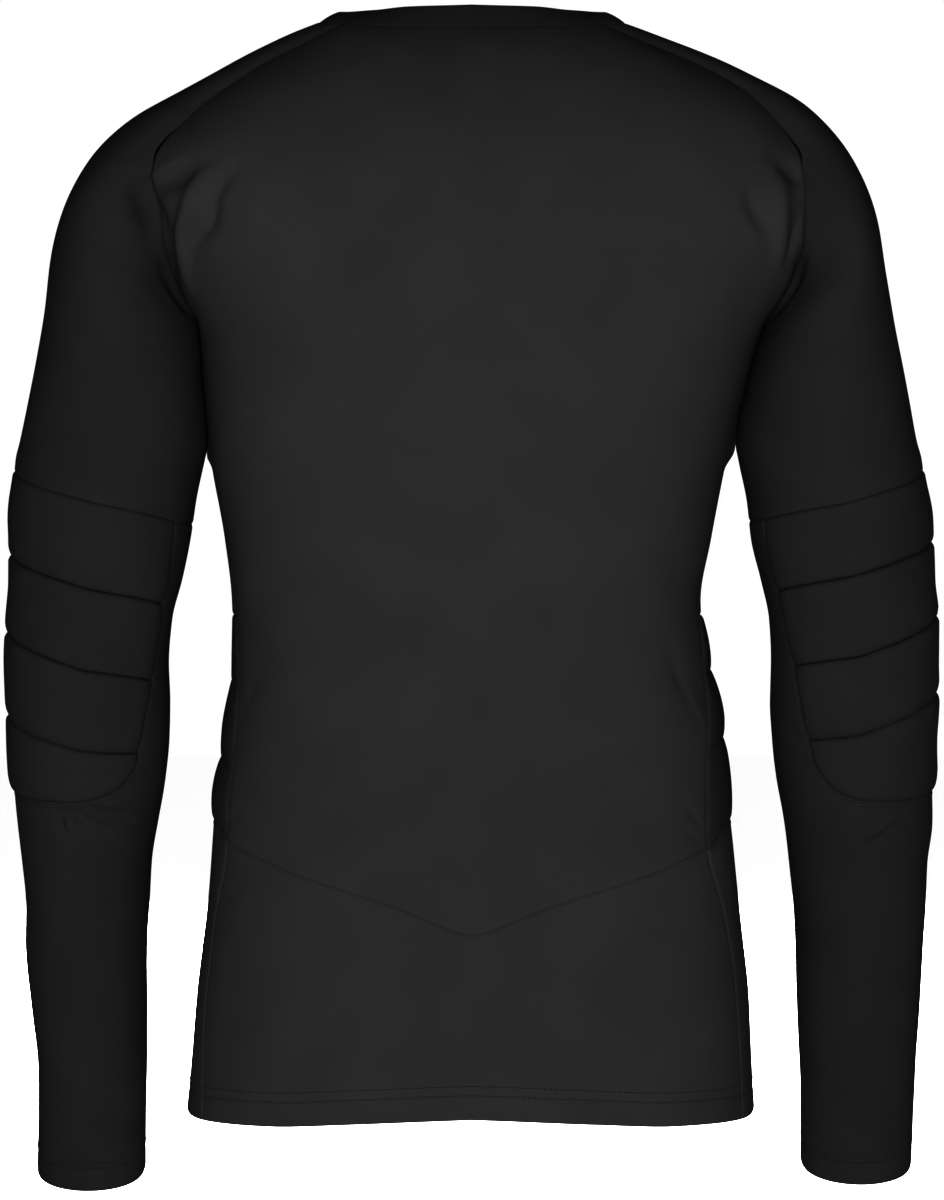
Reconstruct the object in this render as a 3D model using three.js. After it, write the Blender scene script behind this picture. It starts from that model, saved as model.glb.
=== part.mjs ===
import * as THREE from "three";
import { toCreasedNormals } from "three/addons/utils/BufferGeometryUtils.js";

// Padded compression shirt with long raglan sleeves, filled out as when worn, with no body in it.
// Millimetres. +Z is up, the wearer's left is +X and the front faces -Y.
// The origin is in the middle of the neck opening, level with the shoulder ends of the neck seam.

const CLOTH = 1.6; // knit wall
const TURNED = 3.0; // hem and cuffs, turned up double
const CHANNEL = 2.6; // pad wall where it is stitched down
const ELBOW_RISE = 4.5; // elbow pad above its channels
const SIDE_RISE = 4.0; // side pad above its channels
const SEAM = 0.3; // clear space between two pieces at a seam
const BAND = 2.4; // folded neckband
const BAND_WIDTH = 15;
const HEM_DEPTH = 20;
const CUFF_DEPTH = 18;
const UNDERARM = -190; // height at which the sleeve leaves the body

function table(names, ...rows) {
  const keys = names.split(" ");
  return rows.map((row) => Object.fromEntries(keys.map((key, i) => [key, row[i]])));
}

// Smooth reading between the rows of a table, with no overshoot, along its first column.
function read(rows, place, name) {
  const along = Object.keys(rows[0])[0];
  const last = rows.length - 1;
  const sign = rows[last][along] > rows[0][along] ? 1 : -1;
  if (sign * (place - rows[0][along]) <= 0) return rows[0][name];
  if (sign * (place - rows[last][along]) >= 0) return rows[last][name];
  const rise = (i) => (rows[i + 1][name] - rows[i][name]) / (rows[i + 1][along] - rows[i][along]);
  const slope = (i) => {
    if (i === 0) return rise(0);
    if (i === last) return rise(last - 1);
    const [before, after] = [rise(i - 1), rise(i)];
    return before * after <= 0 ? 0 : (2 * before * after) / (before + after);
  };
  let i = 0;
  while (sign * (rows[i + 1][along] - place) < 0) i += 1;
  const step = rows[i + 1][along] - rows[i][along];
  const f = (place - rows[i][along]) / step;
  return rows[i][name] * (2 * f ** 3 - 3 * f ** 2 + 1) + slope(i) * step * (f ** 3 - 2 * f ** 2 + f)
    + rows[i + 1][name] * (3 * f ** 2 - 2 * f ** 3) + slope(i + 1) * step * (f ** 3 - f ** 2);
}

const mix = (a, b, f) => a + (b - a) * f;
const ease = (f) => { const g = Math.min(1, Math.max(0, f)); return g * g * (3 - 2 * g); };

// The body of the shirt, a level section at each height: half widths, depths and squareness.
const BODY = table("z left right back front square",
  [0, 97, 97, 60, 78, 2.1],
  [-10, 123, 122, 69, 84, 2.2],
  [-23, 149, 152, 79, 90, 2.3],
  [-36, 172, 179, 87, 95, 2.4],
  [-48, 194, 203, 93, 99, 2.4],
  [-60, 213, 220, 98, 103, 2.4],
  [-73, 230, 232, 102, 107, 2.4],
  [-85, 236, 238, 105, 109, 2.4],
  [-97, 233, 236, 107, 111, 2.45],
  [-110, 226, 231, 109, 113, 2.5],
  [-130, 208, 221, 111, 116, 2.5],
  [-149, 197, 212, 112, 118, 2.5],
  [-165, 189, 204, 113, 119, 2.5],
  [-178, 181, 194, 113, 119, 2.5],
  [-190, 172, 184, 113, 119, 2.5],
  [-225, 168, 172, 111, 117, 2.5],
  [-275, 164, 160, 107, 112, 2.5],
  [-325, 155, 150, 101, 106, 2.5],
  [-363, 151, 144, 97, 101, 2.5],
  [-401, 150, 149, 96, 99, 2.5],
  [-440, 154, 157, 98, 99, 2.5],
  [-490, 161, 161, 103, 101, 2.5],
  [-552, 165, 168, 110, 105, 2.5],
  [-615, 173, 174, 114, 109, 2.5],
  [-680, 179, 177, 116, 112, 2.5]);

// Raglan seams in degrees round the body from the centre back, down to the underarm.
const RAGLAN = table("z back_left back_right front",
  [0, 56, 57, 124],
  [-12, 55, 60, 122],
  [-25, 57, 62, 120],
  [-38, 56, 62, 120],
  [-50, 55, 58, 122],
  [-64, 52.5, 56, 124],
  [-80, 53, 56.5, 124],
  [-92, 54, 57, 123],
  [-104, 57, 59, 120],
  [-117, 61, 62, 116],
  [-130, 66, 66, 111],
  [-149, 73, 73, 105],
  [-165, 79, 79, 100],
  [-178, 84, 84, 95.5],
  [-185, 87, 87, 93],
  [UNDERARM, 90, 90, 90]);

// Seam up the back of each side and front edge of each side pad, in degrees from the centre back.
const SIDE = table("z left right pad_front",
  [UNDERARM, 90, 90, 105],
  [-260, 86, 86, 103],
  [-330, 82, 82, 102],
  [-375, 78, 78, 103],
  [-412, 73, 72, 109],
  [-451, 69, 65, 114],
  [-486, 66.5, 61.5, 116],
  [-518, 66, 59.5, 117],
  [-560, 72, 66, 114],
  [-600, 71, 69, 112],
  [-680, 66, 69, 112]);

// Pointed seam across the back, running on as the lower edge of the side pads.
const POINTED = table("deg z",
  [0, -566], [12, -549], [25, -538], [40, -528], [50, -521], [62, -515], [81, -501], [100, -498], [117, -505],
  [180, -520]);

// Sleeves: outer and inner side, middle and half depth of each section, and above the underarm
// the direction and strength with which a section leaves the raglan seam and rounds the outer side.
const ARM = table("z out_left out_right in_left in_right middle half leave pull round",
  [0, 97, 97, 97, 97, 0, 0, -45, 14, 14],
  [-10, 122, 124, 122, 124, 0, 0, -42, 16, 16],
  [-23, 146, 155, 146, 155, 0, 0, -38, 18, 18],
  [-36, 169, 181, 169, 181, 0, 0, -34, 20, 22],
  [-48, 192, 205, 192, 205, 0, 0, -30, 22, 26],
  [-60, 214, 219, 214, 219, 0, 0, -26, 25, 30],
  [-73, 230, 231, 230, 231, 0, 0, -22, 27, 34],
  [-85, 240, 239, 240, 239, 0, 0, -15, 29, 40],
  [-98, 248, 245, 248, 245, 0, 0, -5, 32, 46],
  [-111, 255, 250, 255, 250, 0, 0, 8, 36, 52],
  [-130, 261, 255, 255, 250, 0, 0, 28, 42, 60],
  [-149, 265, 258, 220, 225, 0, 0, 48, 52, 66],
  [-165, 267, 261, 200, 210, 0, 0, 65, 62, 71],
  [-178, 268, 264, 185, 195, 0, 0, 78, 72, 75],
  [UNDERARM, 270, 266, 172, 184, 0, 60, 90, 80, 80],
  [-225, 276, 273, 169.5, 173.5, 0, 60, 90, 80, 80],
  [-263, 284, 280, 166.3, 166, 0, 60, 90, 80, 80],
  [-275, 287, 283, 168.5, 168, 0, 59, 90, 80, 80],
  [-300, 289, 285, 174, 173, 0, 58, 90, 80, 80],
  [-325, 288, 286, 178, 176, 0, 57, 90, 80, 80],
  [-350, 288, 287, 183, 182, 0, 55, 90, 80, 80],
  [-375, 290, 290, 189, 187, 0, 54, 90, 80, 80],
  [-401, 291, 290, 191, 188, 0, 53, 90, 80, 80],
  [-426, 291, 291, 190, 188, -3, 51, 90, 80, 80],
  [-451, 291, 290, 191, 190, -9, 49.5, 90, 80, 80],
  [-476, 290, 291, 194, 193, -15, 48, 90, 80, 80],
  [-502, 288, 292, 199, 198, -22, 45.5, 90, 80, 80],
  [-529, 286, 290, 204, 202, -30, 43, 90, 80, 80],
  [-554, 285, 290, 206, 205, -37, 41, 90, 80, 80],
  [-580, 286, 289, 208, 207, -44.5, 40, 90, 80, 80],
  [-620, 283, 288, 209, 209, -56, 38.5, 90, 80, 80],
  [-660, 280, 287, 210, 211, -67.5, 36.5, 90, 80, 80],
  [-732, 282, 285, 212, 214, -88, 35.5, 90, 80, 80]);

// Cross lines of the elbow pads: heights near the inner edge, at the middle of the back and outside.
const ELBOW_LINES = {
  left: table("inner middle outer",
    [-315, -303.5, -281], [-365.5, -356.5, -333], [-413, -406, -381], [-452, -448, -434], [-463, -476, -480]),
  right: table("inner middle outer",
    [-313, -303.5, -281], [-357.5, -348.5, -325], [-405, -398, -371], [-446, -440, -420], [-460, -475, -480]),
};
const ELBOW_PARTS = [4, 4, 4, 3];

// Inner edge of each elbow pad, as a share of the half ring from the underarm to the outer side.
const ELBOW_INNER = table("z left right",
  [-250, 0.2, 0.2], [-317, 0.165, 0.155], [-352, 0.155, 0.15], [-378, 0.145, 0.17], [-405, 0.17, 0.22],
  [-430, 0.225, 0.26], [-462, 0.27, 0.31], [-530, 0.2, 0.2]);
const ELBOW_FRONT = 0.4; // front edge, the same share counted on the front half

// Heights shared by the body and the sleeves along the raglan seams.
const SHOULDER_ROWS = [0, -7, -15, -25, -36, -48, -60, -73, -85, -97, -110, -124, -138, -152, -166, -177, -185, UNDERARM];

// The neck seam dips a little at the centre back and much more at the centre front.
function neckDrop(y, z) {
  const share = ease(1 + z / 130);
  return y > 0 ? -8 * share * (y / 60) ** 2 : -58 * share * Math.min(1, -y / 78) ** 1.6;
}

const sideName = (side) => (side > 0 ? "left" : "right");

function bodyPoint(side, z, degrees) {
  const angle = THREE.MathUtils.degToRad(degrees);
  const power = 2 / read(BODY, z, "square");
  const across = Math.cos(angle);
  const depth = across > 0 ? read(BODY, z, "back") : read(BODY, z, "front");
  const x = side * read(BODY, z, sideName(side)) * Math.abs(Math.sin(angle)) ** power;
  const y = Math.sign(across) * depth * Math.abs(across) ** power;
  return new THREE.Vector3(x, y, z + neckDrop(y, z));
}

// Below the elbow the sleeve leans forward, and its sections lean with it.
const lean = (z) => 0.28 * ease((-400 - z) / 80);

// A point on a sleeve: turn runs 0 to 1 over the back half and 1 to 2 over the front half.
function sleevePoint(side, z, turn) {
  const name = sideName(side);
  const back = turn <= 1 ? 1 : -1;
  const middle = read(ARM, z, "middle");
  const outer = side * read(ARM, z, `out_${name}`);
  let start = [side * read(ARM, z, `in_${name}`), middle];
  let leave = Math.PI / 2;
  let pull = (4 / 3) * read(ARM, z, "half");
  let round = pull;
  if (z > UNDERARM) {
    const seam = bodyPoint(side, z, read(RAGLAN, z, back > 0 ? `back_${name}` : "front"));
    start = [seam.x, seam.y];
    leave = THREE.MathUtils.degToRad(read(ARM, z, "leave"));
    pull = read(ARM, z, "pull");
    round = read(ARM, z, "round");
  }
  const f = turn <= 1 ? turn : 2 - turn;
  const curve = (a, b, c, d) => (1 - f) ** 3 * a + 3 * (1 - f) ** 2 * f * b + 3 * (1 - f) * f ** 2 * c + f ** 3 * d;
  const x = curve(start[0], start[0] + side * pull * Math.cos(leave), outer, outer);
  const y = curve(start[1], start[1] + back * pull * Math.sin(leave), middle + back * round, middle);
  return new THREE.Vector3(x, y, z + neckDrop(y, z) - lean(z) * (y - middle));
}

// Largest folds beside the armholes, seen from behind and repeated on the front: a soft ridge
// (or trough, with a negative height) from one end to the other.
const FOLDS = table("side x1 z1 x2 z2 width height",
  [1, 168, -96, 181, -160, 11, 4],
  [1, 150, -92, 162, -140, 11, -3.5],
  [1, 205, -106, 168, -88, 10, -3],
  [-1, 190, -98, 190, -150, 11, 3.5],
  [-1, 172, -95, 178, -140, 11, -3]);

function foldHeight(point) {
  let height = 0;
  for (const fold of FOLDS) {
    if (fold.side * point.x <= 0) continue;
    const [dx, dz] = [fold.x2 - fold.x1, fold.z2 - fold.z1];
    const along = ((Math.abs(point.x) - fold.x1) * dx + (point.z - fold.z1) * dz) / (dx * dx + dz * dz);
    const f = Math.min(1, Math.max(0, along));
    const away = Math.hypot(Math.abs(point.x) - fold.x1 - f * dx, point.z - fold.z1 - f * dz);
    height += fold.height * Math.exp(-((away / fold.width) ** 2)) * (0.35 + 0.65 * Math.sin(Math.PI * f));
  }
  return height;
}

// A surface is a set of named points and four-cornered cells, each cell listed anticlockwise from outside.
function surface() {
  return { points: new Map(), normals: new Map(), cells: [] };
}

const rowOf = (key) => Number(key.split(":")[0]);
const columnOf = (key) => Number.parseInt(key.split(":")[1], 10);

function addCell(form, corners, tag) {
  form.cells.push({ corners, tag });
}

function findNormals(form) {
  for (const key of form.points.keys()) form.normals.set(key, new THREE.Vector3());
  for (const { corners } of form.cells) {
    const [a, b, c, d] = corners.map((key) => form.points.get(key));
    const normal = c.clone().sub(a).cross(d.clone().sub(b));
    for (const key of corners) form.normals.get(key).add(normal);
  }
  for (const normal of form.normals.values()) normal.normalize();
}

// The body surface. Columns run from the centre front round the wearer's right to the centre back
// and on round the left. Rows run up from the hem.
const BACK_COLUMNS = 10;
const PAD_COLUMNS = 4;
const FRONT_COLUMNS = 7;
const HALF = BACK_COLUMNS + PAD_COLUMNS + FRONT_COLUMNS;
const PAD_TOP = -372;
const HEM = -680;
const PAD_SHARES = [0, 0.12, 0.24, 0.36, 0.48, 0.6, 0.72, 0.81, 0.91, 1];
const PAD_STITCHED = [0, 3, 6, 9];
const BODY_ROWS = [
  () => HEM,
  () => HEM + HEM_DEPTH,
  ...[1, 2, 3, 4, 5, 6].map((i) => (degrees) => mix(HEM + HEM_DEPTH, read(POINTED, degrees, "z"), i / 7)),
  ...PAD_SHARES.map((share) => (degrees) => mix(read(POINTED, degrees, "z"), PAD_TOP, share)),
  ...[1, 2, 3, 4, 5, 6, 7, 8, 9].map((i) => () => mix(PAD_TOP, UNDERARM, i / 10)),
  ...[...SHOULDER_ROWS].reverse().map((z) => () => z),
];
const POINTED_ROW = 8;
const PAD_TOP_ROW = POINTED_ROW + PAD_SHARES.length - 1;
const UNDERARM_ROW = BODY_ROWS.length - SHOULDER_ROWS.length;

function bodyDegrees(side, z, column, front) {
  const name = sideName(side);
  if (z > UNDERARM + 0.01) {
    if (!front) return read(RAGLAN, z, `back_${name}`) * (column / BACK_COLUMNS);
    const start = read(RAGLAN, z, "front");
    const share = column < BACK_COLUMNS + PAD_COLUMNS
      ? (column - BACK_COLUMNS) / PAD_COLUMNS / 6
      : mix(1 / 6, 1, (column - BACK_COLUMNS - PAD_COLUMNS) / FRONT_COLUMNS);
    return mix(start, 180, share);
  }
  const seam = read(SIDE, z, name);
  if (column <= BACK_COLUMNS) return seam * (column / BACK_COLUMNS);
  const pad = read(SIDE, z, "pad_front");
  if (column <= BACK_COLUMNS + PAD_COLUMNS) return mix(seam, pad, (column - BACK_COLUMNS) / PAD_COLUMNS);
  return mix(pad, 180, (column - BACK_COLUMNS - PAD_COLUMNS) / FRONT_COLUMNS);
}

const body = surface();

function bodyKey(row, around, front) {
  const column = Math.abs(around);
  const split = column === BACK_COLUMNS && front && row > UNDERARM_ROW ? "front" : "";
  const key = `${row}:${column === HALF ? HALF : around}${split}`;
  if (!body.points.has(key)) {
    const side = around >= 0 ? 1 : -1;
    let degrees = 90;
    let z = BODY_ROWS[row](degrees);
    for (let i = 0; i < 12; i += 1) {
      degrees = bodyDegrees(side, z, column, front);
      z = BODY_ROWS[row](degrees);
    }
    body.points.set(key, bodyPoint(side, z, degrees));
  }
  return key;
}

for (let row = 0; row < BODY_ROWS.length - 1; row += 1) {
  for (let around = -HALF; around < HALF; around += 1) {
    const column = around >= 0 ? around : -around - 1;
    const front = column >= BACK_COLUMNS;
    const corners = [bodyKey(row, around, front), bodyKey(row + 1, around, front),
      bodyKey(row + 1, around + 1, front), bodyKey(row, around + 1, front)];
    const name = sideName(around >= 0 ? 1 : -1);
    const inPad = front && column < BACK_COLUMNS + PAD_COLUMNS && row >= POINTED_ROW && row < PAD_TOP_ROW;
    if (inPad) addCell(body, corners, `side_pad_${name}`);
    else if (front) addCell(body, corners, "front_panel");
    else addCell(body, corners, row < POINTED_ROW ? "lower_back_panel" : "back_panel");
  }
}
findNormals(body);

// A sleeve surface. Rows run down from the neck, columns from the back round the outer side to the front.
const SLEEVE_HALF = 9;
const INNER_COLUMN = 2;
const FRONT_COLUMN = 2 * SLEEVE_HALF - Math.round(ELBOW_FRONT * SLEEVE_HALF);
const CUFF = { left: -733, right: -729 };
const UPPER_ROWS = 8;
const FOREARM_ROWS = 13;

function elbowLine(line, turn) {
  const f = turn <= 1 ? turn : 2 - turn;
  return f < 0.5 ? mix(line.inner, line.middle, Math.max(0, (f - 0.15) / 0.35)) : mix(line.middle, line.outer, (f - 0.5) / 0.5);
}

function sleeveRows(name) {
  const lines = ELBOW_LINES[name];
  const foot = lines[lines.length - 1];
  const fold = CUFF[name] + CUFF_DEPTH;
  const rows = SHOULDER_ROWS.map((z) => () => z);
  for (let i = 1; i <= UPPER_ROWS; i += 1) {
    rows.push((turn) => mix(UNDERARM, elbowLine(lines[0], turn), i / UPPER_ROWS));
  }
  ELBOW_PARTS.forEach((parts, k) => {
    for (let i = 1; i <= parts; i += 1) {
      rows.push((turn) => mix(elbowLine(lines[k], turn), elbowLine(lines[k + 1], turn), i / parts));
    }
  });
  for (let i = 1; i <= FOREARM_ROWS; i += 1) rows.push((turn) => mix(elbowLine(foot, turn), fold, i / FOREARM_ROWS));
  rows.push(() => CUFF[name]);
  return rows;
}

const TOP_ROW = SHOULDER_ROWS.length - 1 + UPPER_ROWS;
const FOOT_ROW = TOP_ROW + ELBOW_PARTS.reduce((sum, parts) => sum + parts, 0);

function sleeveTurn(name, z, column) {
  const inner = read(ELBOW_INNER, z, name);
  if (column <= INNER_COLUMN) return (inner * column) / INNER_COLUMN;
  if (column <= SLEEVE_HALF) return mix(inner, 1, (column - INNER_COLUMN) / (SLEEVE_HALF - INNER_COLUMN));
  return column / SLEEVE_HALF;
}

function makeSleeve(side) {
  const name = sideName(side);
  const rows = sleeveRows(name);
  const form = surface();
  const closedFrom = SHOULDER_ROWS.length - 1;
  const keyOf = (row, column) => {
    const key = `${row}:${row >= closedFrom && column === 2 * SLEEVE_HALF ? 0 : column}`;
    if (!form.points.has(key)) {
      let turn = column / SLEEVE_HALF;
      let z = rows[row](turn);
      for (let i = 0; i < 12; i += 1) {
        turn = sleeveTurn(name, z, column);
        z = rows[row](turn);
      }
      form.points.set(key, sleevePoint(side, z, turn));
    }
    return key;
  };
  for (let row = 0; row < rows.length - 1; row += 1) {
    for (let column = 0; column < 2 * SLEEVE_HALF; column += 1) {
      const corners = [keyOf(row, column), keyOf(row, column + 1), keyOf(row + 1, column + 1), keyOf(row + 1, column)];
      if (side < 0) corners.reverse();
      const onPad = column >= INNER_COLUMN && column < FRONT_COLUMN && row >= TOP_ROW && row < FOOT_ROW;
      if (onPad) addCell(form, corners, `elbow_pad_${name}`);
      else addCell(form, corners, row < TOP_ROW ? `upper_sleeve_${name}` : `lower_sleeve_${name}`);
    }
  }
  findNormals(form);
  return form;
}

const sleeves = { left: makeSleeve(1), right: makeSleeve(-1) };

// Both cloths of a raglan seam are squared off along one shared direction, which points down out
// of the underarm where the two lie back to back.
for (const side of [1, -1]) {
  const sleeve = sleeves[sideName(side)];
  SHOULDER_ROWS.forEach((z, row) => {
    const bodyRow = BODY_ROWS.length - 1 - row;
    const ends = [
      [bodyKey(bodyRow, side * BACK_COLUMNS, false), `${row}:0`],
      [bodyKey(bodyRow, side * BACK_COLUMNS, true), `${row}:${z === UNDERARM ? 0 : 2 * SLEEVE_HALF}`],
    ];
    for (const [bodyEnd, sleeveEnd] of ends) {
      const shared = body.normals.get(bodyEnd).clone().add(sleeve.normals.get(sleeveEnd));
      shared.z -= 0.3 + 1.5 * ease((-140 - z) / 45);
      shared.normalize();
      if (z === UNDERARM) shared.set(0, 0, -1);
      body.normals.get(bodyEnd).copy(shared);
      sleeve.normals.get(sleeveEnd).copy(shared);
    }
  });
}

// Lift the folds on the body, clear of the seams, before the walls are made.
for (const [key, point] of body.points) {
  const onSeam = Math.abs(columnOf(key)) === BACK_COLUMNS;
  if (point.z > -230 && !onSeam) point.addScaledVector(body.normals.get(key), foldHeight(point));
}

// A wall on the cells of one piece, drawn back from its edges by half a seam, with a thickness
// inwards and a rise outwards given for each point.
function wall(form, tag, thickness, rise = () => 0) {
  const cells = form.cells.filter((cell) => cell.tag === tag);
  const edges = new Map();
  for (const { corners } of cells) {
    corners.forEach((from, i) => {
      const to = corners[(i + 1) % 4];
      if (!edges.delete(`${to}|${from}`)) edges.set(`${from}|${to}`, [from, to]);
    });
  }
  const pulls = new Map();
  for (const [from, to] of edges.values()) {
    const line = form.points.get(to).clone().sub(form.points.get(from));
    for (const key of [from, to]) {
      const inward = form.normals.get(key).clone().cross(line).normalize();
      if (!pulls.has(key)) pulls.set(key, []);
      pulls.get(key).push(inward);
    }
  }
  const place = new Map();
  const positions = [];
  for (const { corners } of cells) {
    for (const key of corners) {
      if (place.has(key)) continue;
      const point = form.points.get(key).clone();
      const pull = pulls.get(key);
      if (pull) {
        const sum = pull.reduce((total, each) => total.add(each), new THREE.Vector3());
        const reach = Math.max(0.5, sum.dot(pull[0]));
        point.addScaledVector(sum, SEAM / 2 / reach);
      }
      const normal = form.normals.get(key);
      const outer = point.clone().addScaledVector(normal, rise(key));
      const inner = point.clone().addScaledVector(normal, -thickness(key));
      place.set(key, positions.length / 3);
      positions.push(...outer.toArray(), ...inner.toArray());
    }
  }
  const index = [];
  const quad = (a, b, c, d) => index.push(a, b, c, a, c, d);
  for (const { corners } of cells) {
    const [a, b, c, d] = corners.map((key) => place.get(key));
    quad(a, b, c, d);
    quad(d + 1, c + 1, b + 1, a + 1);
  }
  for (const [from, to] of edges.values()) {
    const [a, b] = [place.get(from), place.get(to)];
    quad(b, a, a + 1, b + 1);
  }
  const geometry = new THREE.BufferGeometry();
  geometry.setAttribute("position", new THREE.Float32BufferAttribute(positions, 3));
  geometry.setIndex(index);
  return geometry;
}

// Roundness of the padding between two stitched lines, 0 on a line and 1 midway.
function puff(row, stitched) {
  const k = stitched.findIndex((line) => line > row);
  if (k <= 0) return 0;
  return Math.sin((Math.PI * (row - stitched[k - 1])) / (stitched[k] - stitched[k - 1])) ** 0.6;
}

const group = new THREE.Group();
group.name = "padded_compression_shirt";

const knit = new THREE.MeshStandardMaterial({ name: "black_knit", color: 0x1b1c1e, roughness: 0.75, metalness: 0 });
const padded = new THREE.MeshStandardMaterial({ name: "black_padding", color: 0x202124, roughness: 0.8, metalness: 0 });

function addPiece(name, geometry, material) {
  const mesh = new THREE.Mesh(toCreasedNormals(geometry, 0.7), material);
  mesh.name = name;
  group.add(mesh);
}

// Body panels. The hem is thicker below its stitch lines.
const hemmed = (key) => (rowOf(key) <= 1 ? TURNED : CLOTH);
for (const name of ["back_panel", "lower_back_panel", "front_panel"]) addPiece(name, wall(body, name, hemmed), knit);

// Side pads, raised between the stitched lines.
function sidePadRise(key) {
  const across = Math.abs(columnOf(key)) - BACK_COLUMNS;
  const edge = Math.sin((Math.PI * across) / PAD_COLUMNS) ** 0.5;
  return SIDE_RISE * edge * puff(rowOf(key) - POINTED_ROW, PAD_STITCHED);
}

// Elbow pads, the same with three channels.
const ELBOW_STITCHED = ELBOW_PARTS.reduce((rows, parts) => [...rows, rows[rows.length - 1] + parts], [0]);
function elbowPadRise(key) {
  const across = (columnOf(key) - INNER_COLUMN) / (FRONT_COLUMN - INNER_COLUMN);
  const edge = Math.max(0, Math.sin(Math.PI * across)) ** 0.35;
  return ELBOW_RISE * edge * puff(rowOf(key) - TOP_ROW, ELBOW_STITCHED);
}

for (const name of ["left", "right"]) {
  const sleeve = sleeves[name];
  const cuffRow = FOOT_ROW + FOREARM_ROWS;
  addPiece(`side_pad_${name}`, wall(body, `side_pad_${name}`, () => CHANNEL, sidePadRise), padded);
  addPiece(`upper_sleeve_${name}`, wall(sleeve, `upper_sleeve_${name}`, () => CLOTH), knit);
  addPiece(`elbow_pad_${name}`, wall(sleeve, `elbow_pad_${name}`, () => CHANNEL, elbowPadRise), padded);
  addPiece(`lower_sleeve_${name}`,
    wall(sleeve, `lower_sleeve_${name}`, (key) => (rowOf(key) >= cuffRow ? TURNED : CLOTH)), knit);
}

// The neckband stands on the neck seam and leans in over the shoulders.
const BAND_LEAN = table("deg lean", [0, 15], [30, 28], [50, 45], [90, 60], [130, 50], [180, 40]);
const BAND_ROWS = 3;

function neckLoop() {
  const top = BODY_ROWS.length - 1;
  const loop = [];
  const take = (form, key) => loop.push(form.points.get(key));
  for (let c = -BACK_COLUMNS; c <= BACK_COLUMNS; c += 1) take(body, bodyKey(top, c, false));
  for (let c = 2; c < 2 * SLEEVE_HALF; c += 2) take(sleeves.left, `0:${c}`);
  for (let c = BACK_COLUMNS; c <= HALF; c += 1) take(body, bodyKey(top, c, true));
  for (let c = HALF - 1; c >= BACK_COLUMNS; c -= 1) take(body, bodyKey(top, -c, true));
  for (let c = 2 * SLEEVE_HALF - 2; c > 0; c -= 2) take(sleeves.right, `0:${c}`);
  return loop;
}

function neckbandGeometry() {
  const loop = neckLoop();
  const positions = [];
  const index = [];
  const count = loop.length;
  const ring = 2 * (BAND_ROWS + 1);
  loop.forEach((point, i) => {
    const before = loop[(i + count - 1) % count];
    const after = loop[(i + 1) % count];
    const out = new THREE.Vector3(before.y - after.y, after.x - before.x, 0).normalize();
    const degrees = THREE.MathUtils.radToDeg(Math.atan2(Math.abs(point.x) / 97, point.y / (point.y > 0 ? 60 : 78)));
    const angle = THREE.MathUtils.degToRad(read(BAND_LEAN, degrees, "lean"));
    const up = new THREE.Vector3(0, 0, Math.cos(angle)).addScaledVector(out, -Math.sin(angle));
    const face = out.clone().multiplyScalar(Math.cos(angle)).add(new THREE.Vector3(0, 0, Math.sin(angle)));
    for (let k = 0; k <= BAND_ROWS; k += 1) {
      const height = mix(2 * SEAM, BAND_WIDTH, k / BAND_ROWS);
      const bulge = 0.8 * Math.sin((Math.PI * k) / BAND_ROWS);
      const outer = point.clone().addScaledVector(up, height).addScaledVector(face, bulge);
      positions.push(...outer.toArray(), ...outer.clone().addScaledVector(face, -BAND).toArray());
    }
  });
  const quad = (a, b, c, d) => index.push(a, b, c, a, c, d);
  for (let i = 0; i < count; i += 1) {
    const [here, next] = [i * ring, ((i + 1) % count) * ring];
    for (let k = 0; k < BAND_ROWS; k += 1) {
      quad(here + 2 * k, here + 2 * k + 2, next + 2 * k + 2, next + 2 * k);
      quad(next + 2 * k + 1, next + 2 * k + 3, here + 2 * k + 3, here + 2 * k + 1);
    }
    quad(next, next + 1, here + 1, here);
    quad(here + ring - 2, here + ring - 1, next + ring - 1, next + ring - 2);
  }
  const geometry = new THREE.BufferGeometry();
  geometry.setAttribute("position", new THREE.Float32BufferAttribute(positions, 3));
  geometry.setIndex(index);
  return geometry;
}
addPiece("neckband", neckbandGeometry(), knit);

export default group;
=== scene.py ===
import math

import bpy
import numpy as np
from mathutils.kdtree import KDTree
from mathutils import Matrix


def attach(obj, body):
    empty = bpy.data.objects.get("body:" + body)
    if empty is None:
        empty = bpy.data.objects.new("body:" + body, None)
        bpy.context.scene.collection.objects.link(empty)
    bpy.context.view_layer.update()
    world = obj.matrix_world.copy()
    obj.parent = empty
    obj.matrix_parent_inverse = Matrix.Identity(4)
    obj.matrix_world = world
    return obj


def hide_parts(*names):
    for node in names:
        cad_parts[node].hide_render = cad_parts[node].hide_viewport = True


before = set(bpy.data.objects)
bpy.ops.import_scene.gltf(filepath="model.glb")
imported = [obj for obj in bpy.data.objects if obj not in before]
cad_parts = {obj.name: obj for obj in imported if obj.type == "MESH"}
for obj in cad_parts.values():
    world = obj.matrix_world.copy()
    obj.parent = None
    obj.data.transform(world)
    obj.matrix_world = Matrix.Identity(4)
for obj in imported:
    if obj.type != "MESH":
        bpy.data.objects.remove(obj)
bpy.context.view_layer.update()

# Camera 2.7 m behind the shirt, level with its middle, as the photograph was taken.
CAMERA_AWAY = 2.7
VIEW_HEIGHT = 0.756
camera = bpy.data.objects.new("camera", bpy.data.cameras.new("camera"))
bpy.context.scene.collection.objects.link(camera)
camera.location = (0, CAMERA_AWAY, -0.363)
camera.rotation_euler = (math.radians(90), 0, math.radians(180))
camera.data.sensor_fit = "VERTICAL"
camera.data.sensor_height = 24
camera.data.lens = 24 * CAMERA_AWAY / VIEW_HEIGHT
bpy.context.scene.camera = camera

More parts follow.
